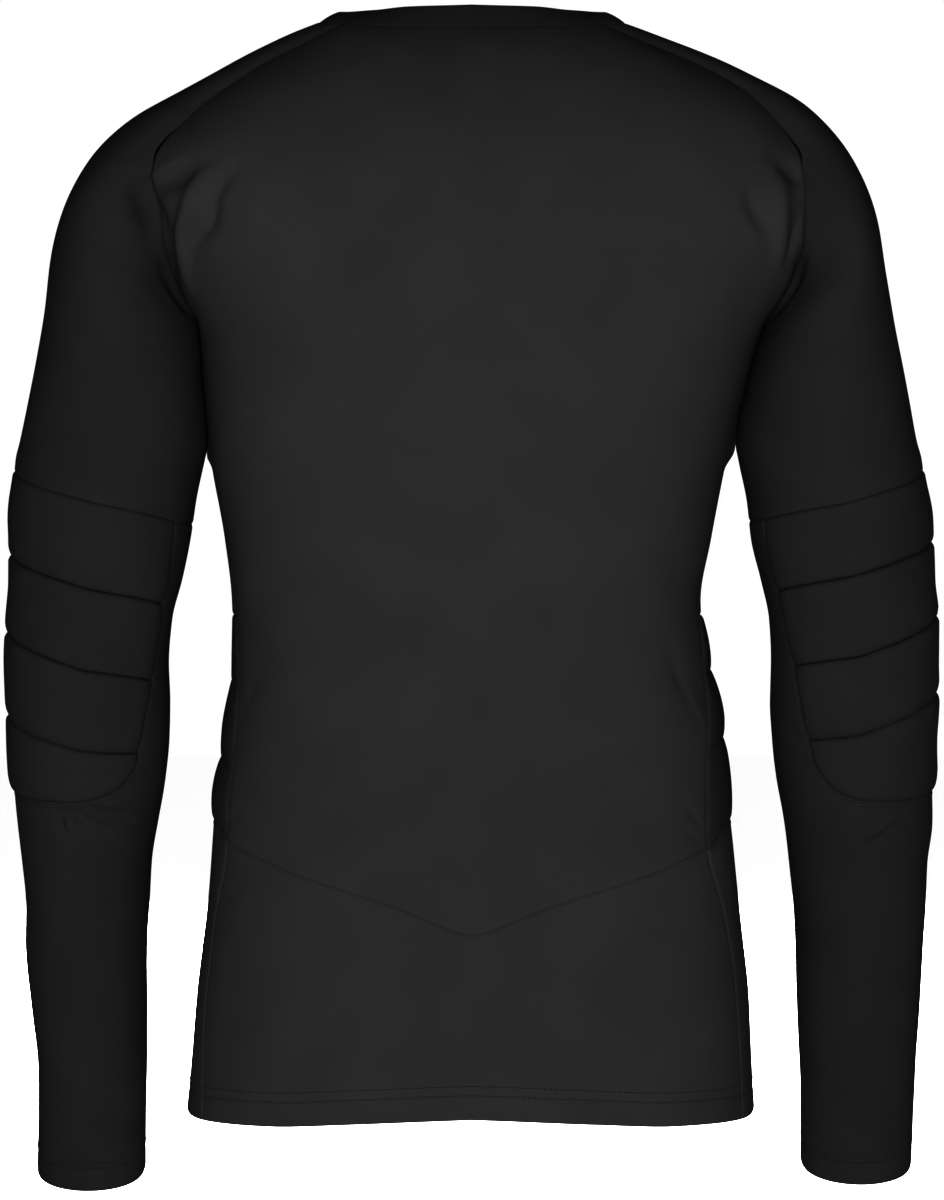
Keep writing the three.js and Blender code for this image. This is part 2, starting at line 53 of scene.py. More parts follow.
# Studio: a plain pale floor in a white room, a broad soft light at the camera and a little below
# it, another in front of the shirt. Lights, display gamma and the very dark cloth colours below
# are set together to give the photograph's tones.
bpy.context.scene.view_settings.view_transform = "Standard"
bpy.context.scene.view_settings.gamma = 0.72
FLOOR = -0.79
floor_mesh = bpy.data.meshes.new("floor")
floor_mesh.from_pydata([(-9, -9, FLOOR), (9, -9, FLOOR), (9, 9, FLOOR), (-9, 9, FLOOR)], [], [(0, 1, 2, 3)])
floor = bpy.data.objects.new("floor", floor_mesh)
bpy.context.scene.collection.objects.link(floor)
floor_paint = bpy.data.materials.new("floor_paint")
floor_paint.use_nodes = True
floor_paint.node_tree.nodes["Principled BSDF"].inputs["Base Color"].default_value = (0.97, 0.97, 0.97, 1)
floor_paint.node_tree.nodes["Principled BSDF"].inputs["Roughness"].default_value = 0.9
floor_mesh.materials.append(floor_paint)
room = bpy.data.worlds.new("room")
room.use_nodes = True
room.node_tree.nodes["Background"].inputs["Color"].default_value = (1, 1, 1, 1)
room.node_tree.nodes["Background"].inputs["Strength"].default_value = 1.0
bpy.context.scene.world = room


def soft_light(name, place, aim, size, power):
    lamp = bpy.data.objects.new(name, bpy.data.lights.new(name, "AREA"))
    bpy.context.scene.collection.objects.link(lamp)
    lamp.data.shape = "RECTANGLE"
    lamp.data.size, lamp.data.size_y = size
    lamp.data.energy = power
    lamp.location = place
    way = np.array(aim, float) - np.array(place, float)
    lamp.rotation_euler = (math.atan2(math.hypot(way[0], way[1]), -way[2]), 0, math.atan2(-way[0], way[1]))


soft_light("back_light", (0, 2.7, -0.47), (0, 0, -0.36), (1.0, 0.5), 505)
soft_light("front_light", (0.5, -3.0, 0.6), (0, 0, -0.35), (1.6, 1.2), 560)

# Back panel: one piece of black stretch knit from the neck seam to the pointed seam over the small
# of the back, between the raglan seams. It is overlocked to its neighbours from the inside.
MM = 0.001
CLOTH = 1.6
UNDERARM = -190
HEM_DEPTH = 20
PAD_TOP = -372


def table(names, *rows):
    return {name: np.array([row[i] for row in rows], float) for i, name in enumerate(names.split())}


def read(rows, place, name):
    """Smooth reading between the rows of a table along its first column, with no overshoot."""
    along, value = rows[next(iter(rows))], rows[name]
    if along[-1] < along[0]:
        along, value = along[::-1], value[::-1]
    rise = np.diff(value) / np.diff(along)
    slope = np.empty_like(value)
    slope[0], slope[-1] = rise[0], rise[-1]
    before, after = rise[:-1], rise[1:]
    same = before * after > 0
    slope[1:-1] = np.where(same, 2 * before * after / np.where(same, before + after, 1), 0)
    place = np.clip(place, along[0], along[-1])
    i = np.clip(np.searchsorted(along, place, side="right") - 1, 0, len(along) - 2)
    step = along[i + 1] - along[i]
    f = (place - along[i]) / step
    return (value[i] * (2 * f**3 - 3 * f**2 + 1) + slope[i] * step * (f**3 - 2 * f**2 + f)
            + value[i + 1] * (3 * f**2 - 2 * f**3) + slope[i + 1] * step * (f**3 - f**2))


def mix(a, b, f):
    return a + (b - a) * f


def ease(f):
    f = np.clip(f, 0, 1)
    return f * f * (3 - 2 * f)


# The body in millimetres: half widths, depths and squareness of its level sections, and where its
# seams run, in degrees round from the centre back.
BODY = table("z left right back front square",
    (0, 97, 97, 60, 78, 2.1), (-10, 123, 122, 69, 84, 2.2), (-23, 149, 152, 79, 90, 2.3),
    (-36, 172, 179, 87, 95, 2.4), (-48, 194, 203, 93, 99, 2.4), (-60, 213, 220, 98, 103, 2.4),
    (-73, 230, 232, 102, 107, 2.4), (-85, 236, 238, 105, 109, 2.4), (-97, 233, 236, 107, 111, 2.45),
    (-110, 226, 231, 109, 113, 2.5), (-130, 208, 221, 111, 116, 2.5), (-149, 197, 212, 112, 118, 2.5),
    (-165, 189, 204, 113, 119, 2.5), (-178, 181, 194, 113, 119, 2.5), (-190, 172, 184, 113, 119, 2.5),
    (-225, 168, 172, 111, 117, 2.5), (-275, 164, 160, 107, 112, 2.5), (-325, 155, 150, 101, 106, 2.5),
    (-363, 151, 144, 97, 101, 2.5), (-401, 150, 149, 96, 99, 2.5), (-440, 154, 157, 98, 99, 2.5),
    (-490, 161, 161, 103, 101, 2.5), (-552, 165, 168, 110, 105, 2.5), (-615, 173, 174, 114, 109, 2.5),
    (-680, 179, 177, 116, 112, 2.5))
RAGLAN = table("z back_left back_right front",
    (0, 56, 57, 124), (-12, 55, 60, 122), (-25, 57, 62, 120), (-38, 56, 62, 120), (-50, 55, 58, 122),
    (-64, 52.5, 56, 124), (-80, 53, 56.5, 124), (-92, 54, 57, 123), (-104, 57, 59, 120),
    (-117, 61, 62, 116), (-130, 66, 66, 111), (-149, 73, 73, 105), (-165, 79, 79, 100),
    (-178, 84, 84, 95.5), (-185, 87, 87, 93), (-190, 90, 90, 90))
SIDE = table("z left right pad_front",
    (-190, 90, 90, 105), (-260, 86, 86, 103), (-330, 82, 82, 102), (-375, 78, 78, 103),
    (-412, 73, 72, 109), (-451, 69, 65, 114), (-486, 66.5, 61.5, 116), (-518, 66, 59.5, 117),
    (-560, 72, 66, 114), (-600, 71, 69, 112), (-680, 66, 69, 112))
POINTED = table("deg z",
    (0, -566), (12, -549), (25, -538), (40, -528), (50, -521), (62, -515), (81, -501), (100, -498),
    (117, -505), (180, -520))
HEM_EDGE = table("deg z", (0, -677), (20, -680.5), (40, -683.5), (65, -684), (100, -682), (180, -679))


# The neck opening: half its width, its depth behind and in front, and how far it dips there.
NECK_HALF, NECK_BACK, NECK_FRONT = 97, 60, 78
DIP_BACK, DIP_FRONT, DIP_FADES_BY = 8, 58, 130


def neck_drop(y, z):
    share = ease(1 + z / DIP_FADES_BY)
    front = np.minimum(1, np.maximum(0, -y) / NECK_FRONT)
    return share * np.where(y > 0, -DIP_BACK * (y / NECK_BACK) ** 2, -DIP_FRONT * front**1.6)


def body_point(side, z, degrees):
    angle = np.radians(degrees)
    power = 2 / read(BODY, z, "square")
    across = np.cos(angle)
    depth = np.where(across > 0, read(BODY, z, "back"), read(BODY, z, "front"))
    half = np.where(side > 0, read(BODY, z, "left"), read(BODY, z, "right"))
    x = side * half * np.abs(np.sin(angle)) ** power
    y = np.sign(across) * depth * np.abs(across) ** power
    return np.stack([x, y, z + neck_drop(y, z)], -1)


def body_degrees(side, z, zone, share):
    seam = np.where(side > 0, read(SIDE, z, "left"), read(SIDE, z, "right"))
    raglan = np.where(side > 0, read(RAGLAN, z, "back_left"), read(RAGLAN, z, "back_right"))
    front = read(RAGLAN, z, "front")
    above = z > UNDERARM
    start = np.where(above, front, seam)
    end = np.where(above, mix(front, 180, 1 / 6), read(SIDE, z, "pad_front"))
    back = np.where(above, raglan, seam) * share
    return np.where(zone == "back", back, np.where(zone == "pad", mix(start, end, share), mix(end, 180, share)))


def body_height(zone, share, degrees):
    pointed, edge = read(POINTED, degrees, "z"), read(HEM_EDGE, degrees, "z")
    bands = {"hem": (edge, edge + HEM_DEPTH), "lower": (edge + HEM_DEPTH, pointed), "pads": (pointed, PAD_TOP),
             "waist": (PAD_TOP, UNDERARM), "chest": (UNDERARM, 0)}
    z = np.zeros_like(degrees)
    for name, (low, high) in bands.items():
        z = np.where(zone == name, mix(low, high, share), z)
    return z


# The sleeves share the raglan seams: outer and inner side, middle and half depth of each section
# and, above the underarm, how a section leaves the seam and rounds the outer side.
ARM = table("z out_left out_right in_left in_right middle half leave pull round",
    (0, 97, 97, 97, 97, 0, 0, -45, 14, 14), (-10, 122, 124, 122, 124, 0, 0, -42, 16, 16),
    (-23, 146, 155, 146, 155, 0, 0, -38, 18, 18), (-36, 169, 181, 169, 181, 0, 0, -34, 20, 22),
    (-48, 192, 205, 192, 205, 0, 0, -30, 22, 26), (-60, 214, 219, 214, 219, 0, 0, -26, 25, 30),
    (-73, 230, 231, 230, 231, 0, 0, -22, 27, 34), (-85, 240, 239, 240, 239, 0, 0, -15, 29, 40),
    (-98, 248, 245, 248, 245, 0, 0, -5, 32, 46), (-111, 255, 250, 255, 250, 0, 0, 8, 36, 52),
    (-130, 261, 255, 255, 250, 0, 0, 28, 42, 60), (-149, 265, 258, 220, 225, 0, 0, 48, 52, 66),
    (-165, 267, 261, 200, 210, 0, 0, 65, 62, 71), (-178, 268, 264, 185, 195, 0, 0, 78, 72, 75),
    (-190, 270, 266, 172, 184, 0, 60, 90, 80, 80), (-225, 276, 273, 169.5, 173.5, 0, 60, 90, 80, 80),
    (-263, 284, 280, 166.3, 166, 0, 60, 90, 80, 80), (-275, 287, 283, 168.5, 168, 0, 59, 90, 80, 80),
    (-300, 289, 285, 174, 173, 0, 58, 90, 80, 80), (-325, 288, 286, 178, 176, 0, 57, 90, 80, 80),
    (-350, 288, 287, 183, 182, 0, 55, 90, 80, 80), (-375, 290, 290, 189, 187, 0, 54, 90, 80, 80),
    (-401, 291, 290, 191, 188, 0, 53, 90, 80, 80), (-426, 291, 291, 190, 188, -3, 51, 90, 80, 80),
    (-451, 291, 290, 191, 190, -9, 49.5, 90, 80, 80), (-476, 290, 291, 194, 193, -15, 48, 90, 80, 80),
    (-502, 288, 292, 199, 198, -22, 45.5, 90, 80, 80), (-529, 286, 290, 204, 202, -30, 43, 90, 80, 80),
    (-554, 285, 290, 206, 205, -37, 41, 90, 80, 80), (-580, 286, 289, 208, 207, -44.5, 40, 90, 80, 80),
    (-620, 283, 288, 209, 209, -56, 38.5, 90, 80, 80), (-660, 280, 287, 210, 211, -67.5, 36.5, 90, 80, 80),
    (-732, 282, 285, 212, 214, -88, 35.5, 90, 80, 80))


def sleeve_point(side, z, turn):
    """turn runs from 0 to 1 over the back half of a sleeve and from 1 to 2 over its front half."""
    name = "left" if side > 0 else "right"
    back = np.where(turn <= 1, 1, -1)
    middle = read(ARM, z, "middle")
    outer = side * read(ARM, z, "out_" + name)
    open_part = z > UNDERARM
    seam = body_point(side, z, np.where(back > 0, read(RAGLAN, z, "back_" + name), read(RAGLAN, z, "front")))
    start_x = np.where(open_part, seam[..., 0], side * read(ARM, z, "in_" + name))
    start_y = np.where(open_part, seam[..., 1], middle)
    leave = np.radians(np.where(open_part, read(ARM, z, "leave"), 90))
    full = read(ARM, z, "half") * 4 / 3
    pull = np.where(open_part, read(ARM, z, "pull"), full)
    rounding = np.where(open_part, read(ARM, z, "round"), full)
    f = np.where(turn <= 1, turn, 2 - turn)

    def curve(a, b, c, d):
        return (1 - f) ** 3 * a + 3 * (1 - f) ** 2 * f * b + 3 * (1 - f) * f**2 * c + f**3 * d

    x = curve(start_x, start_x + side * pull * np.cos(leave), outer, outer)
    y = curve(start_y, start_y + back * pull * np.sin(leave), middle + back * rounding, middle)
    lean = 0.28 * ease((-400 - z) / 80)
    return np.stack([x, y, z + neck_drop(y, z) - lean * (y - middle)], -1)


# Lines are laid across a piece every few millimetres, and closer together beside a seam.
BY_SEAM = np.array([0.05, 0.45, 1.0, 1.7, 2.6, 4.0])
PLAIN = np.array([0.0])
BESIDE = np.array([-2, -1.2, -0.6, 0, 0.6, 1.2, 2])


def lines(length, step=3.0, first=BY_SEAM, last=BY_SEAM):
    tail = length - last[::-1]
    middle = np.linspace(first[-1], tail[0], max(2, round((tail[0] - first[-1]) / step) + 1))[1:-1]
    return np.concatenate([first, middle, tail]) / length


def closer(shares, length, places):
    for place in places:
        shares = np.concatenate([shares[np.abs(shares - place) * length > 2.6], place + BESIDE / length])
    return np.sort(shares)


def run_of(points):
    """Distance run along a line of points, at each of them."""
    return np.concatenate([[0], np.cumsum(np.linalg.norm(np.diff(points, axis=0), axis=1))])


def at_run(place, run, values):
    return np.stack([np.interp(place, run, values[:, i]) for i in range(3)], -1)


def evenly(shares, guide):
    """Turns shares of a curve's length into shares of its own measure, from points along it."""
    run = run_of(guide)
    return np.interp(shares, run / run[-1], np.linspace(0, 1, len(guide)))


def round_body(start, end):
    return body_point(1, np.full(400, -300.0), np.linspace(start, end, 400))


HEM_GROOVE = 0.75
PAD_HEIGHT = 140
SIDE_CHANNELS = {"left": [0, 0.30, 0.68, 1], "right": [0, 0.395, 0.73, 1]}
channels = SIDE_CHANNELS["left"][1:3] + SIDE_CHANNELS["right"][1:3]
to_neck = np.linspace(UNDERARM, 0, 400)
shoulder_slope = np.stack([read(BODY, to_neck, "left"), to_neck], -1)
BODY_ROWS = [("hem", share) for share in closer(lines(HEM_DEPTH, 2.2), HEM_DEPTH, [HEM_GROOVE])]
BODY_ROWS += [("lower", share) for share in lines(130, 2.6)]
BODY_ROWS += [("pads", share) for share in closer(lines(PAD_HEIGHT, 2.5), PAD_HEIGHT, channels)]
BODY_ROWS += [("waist", share) for share in lines(182, 2.8, last=PLAIN)]
BODY_ROWS += [("chest", share) for share in evenly(lines(280, 2.6, first=PLAIN), shoulder_slope)[1:]]
half_back = evenly(lines(160, 2.5, first=PLAIN), round_body(0, 78))
BACK_COLUMNS = [(-1, "back", share) for share in half_back[::-1]] + [(1, "back", share) for share in half_back[1:]]


def crossed(a, b):
    normal = np.cross(a, b)
    return normal / np.maximum(np.linalg.norm(normal, axis=-1, keepdims=True), 1e-9)


def raglan_directions():
    """Places down the raglan seams, with the one direction at each that both cloths are thick in."""
    z = np.linspace(-0.5, UNDERARM + 0.5, 240)
    places, ways = [], []
    for side, name in ((1, "left"), (-1, "right")):
        for back in (1, 0):
            degrees = read(RAGLAN, z, "back_" + name if back else "front")
            up_body = body_point(side, z + 0.5, degrees) - body_point(side, z - 0.5, degrees)
            round_the_body = body_point(side, z, degrees + 1 - back) - body_point(side, z, degrees - back)
            turn = 0.01 if back else 1.99
            up_sleeve = sleeve_point(side, z + 0.5, turn) - sleeve_point(side, z - 0.5, turn)
            round_the_sleeve = sleeve_point(side, z, turn + 0.009) - sleeve_point(side, z, turn - 0.009)
            way = crossed(up_body, side * round_the_body) + crossed(up_sleeve, side * round_the_sleeve)
            way[:, 2] -= 0.3 + 1.5 * ease((-140 - z) / 45)
            places.append(body_point(side, z, degrees))
            ways.append(way / np.linalg.norm(way, axis=1, keepdims=True))
        places.append(body_point(side, np.array([UNDERARM]), np.array([90.0])))
        ways.append(np.array([[0.0, 0, -1]]))
    return np.concatenate(places), np.concatenate(ways)


def tree_of(places):
    tree = KDTree(len(places))
    for i, place in enumerate(places):
        tree.insert(place, i)
    tree.balance()
    return tree


# The top edge of the back, along both raglan seams and the neck seam, rolls forward over the
# shoulders, so each seam lies in a valley: how deep at each height of the edge.
ROLL = table("z depth", (0, 12), (-20, 17), (-60, 19), (-95, 13), (-118, 5), (-140, 0))
ROLL_REACH = 22
ROLL_BEND = 2.0
ROLL_FRONT, ROLL_FADE = -40, 30
edge_z = np.linspace(0, -140, 400)
edge_places = []
for side, name in ((1, "left"), (-1, "right")):
    edge_places.append(body_point(side, edge_z, read(RAGLAN, edge_z, "back_" + name)))
    edge_places.append(body_point(side, np.zeros(150), np.linspace(0, read(RAGLAN, 0.0, "back_" + name), 150)))
edge_depths = np.concatenate([read(ROLL, edge_z, "depth"), np.full(150, 12.0)] * 2)
edge_places = np.concatenate(edge_places)
edge_tree = tree_of(edge_places)


def rolled(points):
    points = points.copy()
    for spot in zip(*np.nonzero((points[..., 2] > -180) & (points[..., 1] > ROLL_FRONT))):
        _, i, away = edge_tree.find(points[spot])
        away = math.hypot(away, ROLL_BEND) - ROLL_BEND
        behind = ease((points[spot + (1,)] - ROLL_FRONT) / ROLL_FADE)
        points[spot + (1,)] -= edge_depths[i] * math.exp(-away / ROLL_REACH) * behind
    return points


SEAM_TURN = 9
raglan_places, raglan_ways = raglan_directions()
raglan_places = rolled(raglan_places)
raglan_tree = tree_of(raglan_places)


def laid_out(points, zone, row, across, up):
    """A surface with its thickness directions, turned to the shared ones beside a raglan seam."""
    points = rolled(points)
    normal = crossed(np.gradient(points, axis=0), np.gradient(points, axis=1))
    for spot in zip(*np.nonzero(points[..., 2] > UNDERARM - 20)):
        _, i, away = raglan_tree.find(points[spot])
        if away < SEAM_TURN:
            way = mix(raglan_ways[i], normal[spot], ease(away / SEAM_TURN))
            normal[spot] = way / np.linalg.norm(way)
    return {"points": points, "normal": normal, "zone": zone, "row": row, "across": across, "up": up,
            "top": points.copy()}


def evened(points, passes):
    """The same places with the kinks between the rows smoothed away."""
    even = points.copy()
    for _ in range(passes):
        even[1:-1] = (even[:-2] + 2 * even[1:-1] + even[2:]) / 4
    return even


# The chest and upper back are evened between the underarm, the neck and the raglan seams.
CHEST_PASSES = 60
NECK_ROWS = 9
OFF_SEAM = 26
CHEST_FOOT, CHEST_FADE = UNDERARM - 15, 25


def body_surface(columns):
    side, zone, share = (np.array([column[i] for column in columns])[None, :] for i in range(3))
    row_zone, row_share = (np.array([row[i] for row in BODY_ROWS])[:, None] for i in range(2))
    degrees = np.full((len(BODY_ROWS), len(columns)), 90.0)
    for _ in range(12):
        z = body_height(row_zone, row_share, degrees)
        degrees = body_degrees(side, z, zone, share)
    points = body_point(side, z, degrees)
    even = evened(points, CHEST_PASSES)
    below_neck = ease(np.arange(len(points))[::-1] / NECK_ROWS)
    for spot in zip(*np.nonzero(points[..., 2] > CHEST_FOOT)):
        _, _, away = raglan_tree.find(points[spot])
        smooth = ease((away - 1) / OFF_SEAM) * below_neck[spot[0]]
        smooth *= ease((points[spot + (2,)] - CHEST_FOOT) / CHEST_FADE)
        points[spot] = mix(points[spot], even[spot], smooth)
    return laid_out(points, zone, row_zone, share + 0 * z, row_share + 0 * z)


# Folds of the worn cloth: side, width and height in millimetres, below zero for a trough, then
# places along it, in degrees round and height on the body, and in turn and height on a sleeve.
BODY_FOLDS = [
    (1, 9, -10.5, [(63.5, -102), (64, -117), (67, -134)]),
    (1, 6, -4.5, [(70, -146), (79, -165), (88, -186)]),
    (-1, 6, -4.0, [(72, -150), (80, -168), (88, -186)]),
    (1, 4.0, 2.4, [(55.5, -100), (51, -96), (47, -92)]),
    (1, 3.2, -3.4, [(57.5, -106), (53.8, -102), (49.5, -98), (45, -93)]),
    (1, 8.0, -5.5, [(60, -111), (49, -103), (41, -94)]),
    (1, 5.0, 5.0, [(41, -99), (47.5, -117), (58, -137), (69, -169)]),
    (1, 5.2, -4.8, [(34, -98), (40.5, -115), (47, -133), (56, -146)]),
    (1, 9.0, 1.2, [(27, -104), (33, -122), (38, -140)]),
    (-1, 7.5, -4.6, [(57, -108), (55.5, -99), (49, -90)]),
    (-1, 6.5, 4.6, [(50, -103), (54, -121), (57, -137), (62, -153)]),
    (-1, 5.5, -3.6, [(43, -112), (46, -123), (50, -134)]),
    (-1, 4.0, 1.3, [(44.5, -128), (51.5, -144)]),
    (-1, 2.8, -2.6, [(62, -126), (63.5, -140), (65, -154)]),
    (-1, 3.6, -1.3, [(51, -400), (54.5, -414), (58, -427), (62.5, -443)]),
    (-1, 4.5, 1.0, [(56, -416), (60, -430), (64, -444)]),
    (-1, 6.0, -0.7, [(49, -380), (53, -398), (57, -418)]),
    (-1, 2.6, -0.9, [(50, -488), (57.5, -503)]),
    (-1, 2.6, -0.9, [(50, -504), (58, -511)]),
    (-1, 3.0, 0.6, [(51, -497), (57, -508)]),
    (1, 4.0, -0.8, [(56, -404), (61, -418), (66, -436)]),
    (1, 2.6, -0.8, [(59, -492), (65.5, -500)]),
    (1, 2.2, -0.9, [(67, -506), (75, -512)]),
    (1, 3.0, -0.9, [(70, -546), (63, -545), (55, -541)]),
    (1, 2.6, -0.9, [(72, -591), (64, -594), (55, -595)]),
    (1, 14, 0.7, [(8, -300), (40, -330), (76, -345)]),
    (-1, 15, -0.7, [(5, -330), (38, -345), (78, -352)]),
    (-1, 14, 0.6, [(10, -372), (45, -366), (70, -362)]),
    (1, 13, -0.6, [(14, -388), (44, -380), (72, -372)]),
    (1, 10, 2.6, [(136, -108), (124, -130), (110, -160)]),
    (1, 8, -2.4, [(142, -112), (130, -138), (118, -160)]),
    (-1, 10, 2.6, [(134, -112), (122, -134), (108, -162)]),
    (-1, 8, -2.0, [(141, -118), (128, -142), (116, -164)]),
    (1, 15, -0.8, [(100, -352), (130, -342), (170, -348)]),
    (-1, 14, 0.8, [(98, -340), (128, -352), (168, -366)]),
    (1, 9, -0.9, [(122, -436), (134, -462), (140, -490)]),
    (-1, 9, -0.9, [(124, -428), (136, -456), (144, -484)]),
]
SLEEVE_FOLDS = [
    (-1, 2.8, -2.8, [(0.015, -156), (0.02, -170), (0.06, -185)]),
    (-1, 4.0, 1.0, [(0.05, -150), (0.06, -168), (0.1, -182)]),
    (1, 5.0, -0.9, [(0.05, -118), (0.07, -148)]),
    (1, 4.0, 1.0, [(0.09, -168), (0.1, -184)]),
    (1, 4.5, -0.8, [(0.44, -192), (0.36, -203)]),
    (-1, 4.5, -0.8, [(0.12, -190), (0.2, -200)]),
    (1, 2.8, -0.9, [(0.3, -302.5), (0.25, -303), (0.2, -306)]),
    (1, 2.3, -3.0, [(0.64, -477), (0.6, -489), (0.58, -499)]),
    (1, 2.3, -3.6, [(0.6, -479), (0.53, -489), (0.46, -497)]),
    (1, 2.3, -3.8, [(0.55, -480), (0.46, -488), (0.36, -496)]),
    (1, 2.3, -3.4, [(0.48, -479), (0.38, -484), (0.26, -489)]),
    (-1, 3.2, 3.6, [(0.68, -486), (0.61, -491), (0.54, -498)]),
    (-1, 2.6, -3.4, [(0.7, -483), (0.6, -494), (0.52, -504)]),
    (-1, 2.4, -0.8, [(0.42, -470), (0.36, -474), (0.3, -480)]),
    (1, 20, -0.9, [(0.2, -240), (0.5, -262), (0.85, -250)]),
    (-1, 20, -0.9, [(0.22, -236), (0.5, -256), (0.84, -262)]),
    (1, 16, 0.8, [(0.25, -560), (0.6, -575), (0.9, -590)]),
    (-1, 16, 0.8, [(0.22, -552), (0.55, -570), (0.9, -574)]),
    (1, 14, -0.8, [(0.2, -640), (0.6, -655)]),
    (-1, 14, -0.8, [(0.3, -630), (0.7, -650)]),
    (1, 5, -1.6, [(1.9, -356), (1.76, -366), (1.62, -362)]),
    (1, 5, -1.8, [(1.92, -380), (1.78, -388), (1.64, -398)]),
    (1, 4.5, -1.4, [(1.88, -408), (1.76, -414), (1.66, -410)]),
    (-1, 5, -1.6, [(1.9, -350), (1.76, -362), (1.64, -360)]),
    (-1, 5, -1.8, [(1.9, -376), (1.78, -382), (1.62, -392)]),
    (-1, 4.5, -1.4, [(1.9, -402), (1.78, -412), (1.66, -416)]),
    (1, 10, 1.4, [(1.86, -150), (1.7, -178), (1.5, -196)]),
    (-1, 10, 1.4, [(1.88, -146), (1.72, -174), (1.52, -190)]),
]


def laid_line(point, side, places):
    places = np.array(places, float)
    f = np.linspace(0, len(places) - 1, 5 * (len(places) - 1) + 1)
    i = np.arange(len(places))
    return rolled(point(side, np.interp(f, i, places[:, 1]), np.interp(f, i, places[:, 0])))


FOLDS = [(width, height, laid_line(body_point, side, places)) for side, width, height, places in BODY_FOLDS]
FOLDS += [(width, height, laid_line(sleeve_point, side, places)) for side, width, height, places in SLEEVE_FOLDS]


def fold(points, width, height, line):
    """A soft ridge or trough along a line laid on the cloth, dying away at both ends."""
    result = np.zeros(points.shape[:-1])
    near = np.all((points > line.min(0) - 3 * width) & (points < line.max(0) + 3 * width), axis=-1)
    here = points[near]
    nearest, along = np.full(len(here), 1e9), np.zeros(len(here))
    for i, (a, b) in enumerate(zip(line[:-1], line[1:])):
        f = np.clip(((here - a) @ (b - a)) / ((b - a) @ (b - a)), 0, 1)
        away = np.linalg.norm(here - a - f[:, None] * (b - a), axis=-1)
        along = np.where(away < nearest, (i + f) / (len(line) - 1), along)
        nearest = np.minimum(nearest, away)
    fade = np.sin(np.pi * np.clip(0.08 + 0.84 * along, 0, 1)) ** 0.8
    result[near] = height * np.exp(-((nearest / width) ** 2)) * fade
    return result


def lie(points):
    """How far worn cloth stands out from, or falls in behind, the even form."""
    chance = np.random.default_rng(5)
    total = np.zeros(points.shape[:-1])
    for size, height in ((150, 0.16), (70, 0.09), (38, 0.035)):
        for _ in range(6):
            way = chance.normal(size=3)
            way *= 2 * np.pi / size * chance.uniform(0.7, 1.4) / np.linalg.norm(way)
            total += height * np.sin(points @ way + chance.uniform(0, 6.28))
    for width, height, line in FOLDS:
        total += fold(points, width, height, line)
    x, y, z = np.moveaxis(points, -1, 0)
    beside_arm = ease((UNDERARM + 6 - z) / 12) * (1 - ease((-275 - z) / 20)) * (np.abs(x) < 200)
    pressed = np.exp(-((y / 30) ** 2)) * beside_arm
    return total * (1 - 0.95 * pressed)


def underarm_fill(points):
    """The side of the body bears on the sleeve for a hand's breadth below the underarm."""
    x, y, z = np.moveaxis(points, -1, 0)
    arm = np.where(x > 0, read(ARM, z, "in_left"), read(ARM, z, "in_right"))
    body = np.where(x > 0, read(BODY, z, "left"), read(BODY, z, "right"))
    fade = ease((UNDERARM - z) / 4) * (1 - ease((-268 - z) / 14))
    return np.clip(arm - body - 0.15, 0, 4) * fade * np.exp(-((y / 20) ** 2)) * (np.abs(x) > 120)


def between(items, names):
    """Cells whose two lines both belong to the named zones."""
    inside = np.array([item[-2] in names for item in items])
    return inside[:-1] & inside[1:]


def beside(items, names):
    """Cells with at least one line in the named zones."""
    inside = np.array([item[-2] in names for item in items])
    return inside[:-1] | inside[1:]


def knit_places(points):
    """Distance round and up the cloth in metres, which the knit's wales and courses follow."""
    middle = points.shape[1] // 2
    across = np.linalg.norm(np.diff(points, axis=1), axis=-1)
    round_way = np.concatenate([np.zeros((len(points), 1)), np.cumsum(across, axis=1)], axis=1)
    round_way -= round_way[:, middle:middle + 1]
    up_way = run_of(points[:, middle])[:, None] + 0 * round_way
    return np.stack([round_way, up_way, 0 * round_way], -1) * MM


def seam_distance(places, edges, used):
    """Distance of each point of a piece from its nearest edge."""
    after, before = dict(edges.tolist()), {b: a for a, b in edges.tolist()}
    rim = np.unique(edges)
    tree = tree_of(places[rim])
    near = np.array([rim[tree.find(places[number])[1]] for number in used])
    here, nearest = places[used], np.full(len(used), 1e9)
    for step in (after, before):
        other = np.array([step.get(number, number) for number in near.tolist()])
        a, b = places[near], places[other]
        length = np.maximum(((b - a) ** 2).sum(-1), 1e-12)
        f = np.clip(((here - a) * (b - a)).sum(-1) / length, 0, 1)[:, None]
        nearest = np.minimum(nearest, np.linalg.norm(here - a - f * (b - a), axis=-1))
    result = np.full(len(places), 1e9)
    result[used] = nearest
    return result


def new_object(name, vertices, faces, material, knit=None):
    mesh = bpy.data.meshes.new(name)
    mesh.vertices.add(len(vertices))
    mesh.vertices.foreach_set("co", (np.asarray(vertices) * MM).astype(np.float32).ravel())
    mesh.loops.add(faces.size)
    mesh.loops.foreach_set("vertex_index", faces.astype(np.int32).ravel())
    mesh.polygons.add(len(faces))
    mesh.polygons.foreach_set("loop_start", np.arange(0, faces.size, faces.shape[1], dtype=np.int32))
    mesh.polygons.foreach_set("use_smooth", np.ones(len(faces), bool))
    mesh.update(calc_edges=True)
    if knit is not None:
        mesh.set_sharp_from_angle(angle=math.radians(55))
        places = mesh.attributes.new("knit", "FLOAT_VECTOR", "POINT")
        places.data.foreach_set("vector", knit.astype(np.float32).ravel())
    mesh.materials.append(material)
    made = bpy.data.objects.new(name, mesh)
    bpy.context.scene.collection.objects.link(made)
    return made


SEAM_ROLL = 0.8
SEAM_REACH = 2.8


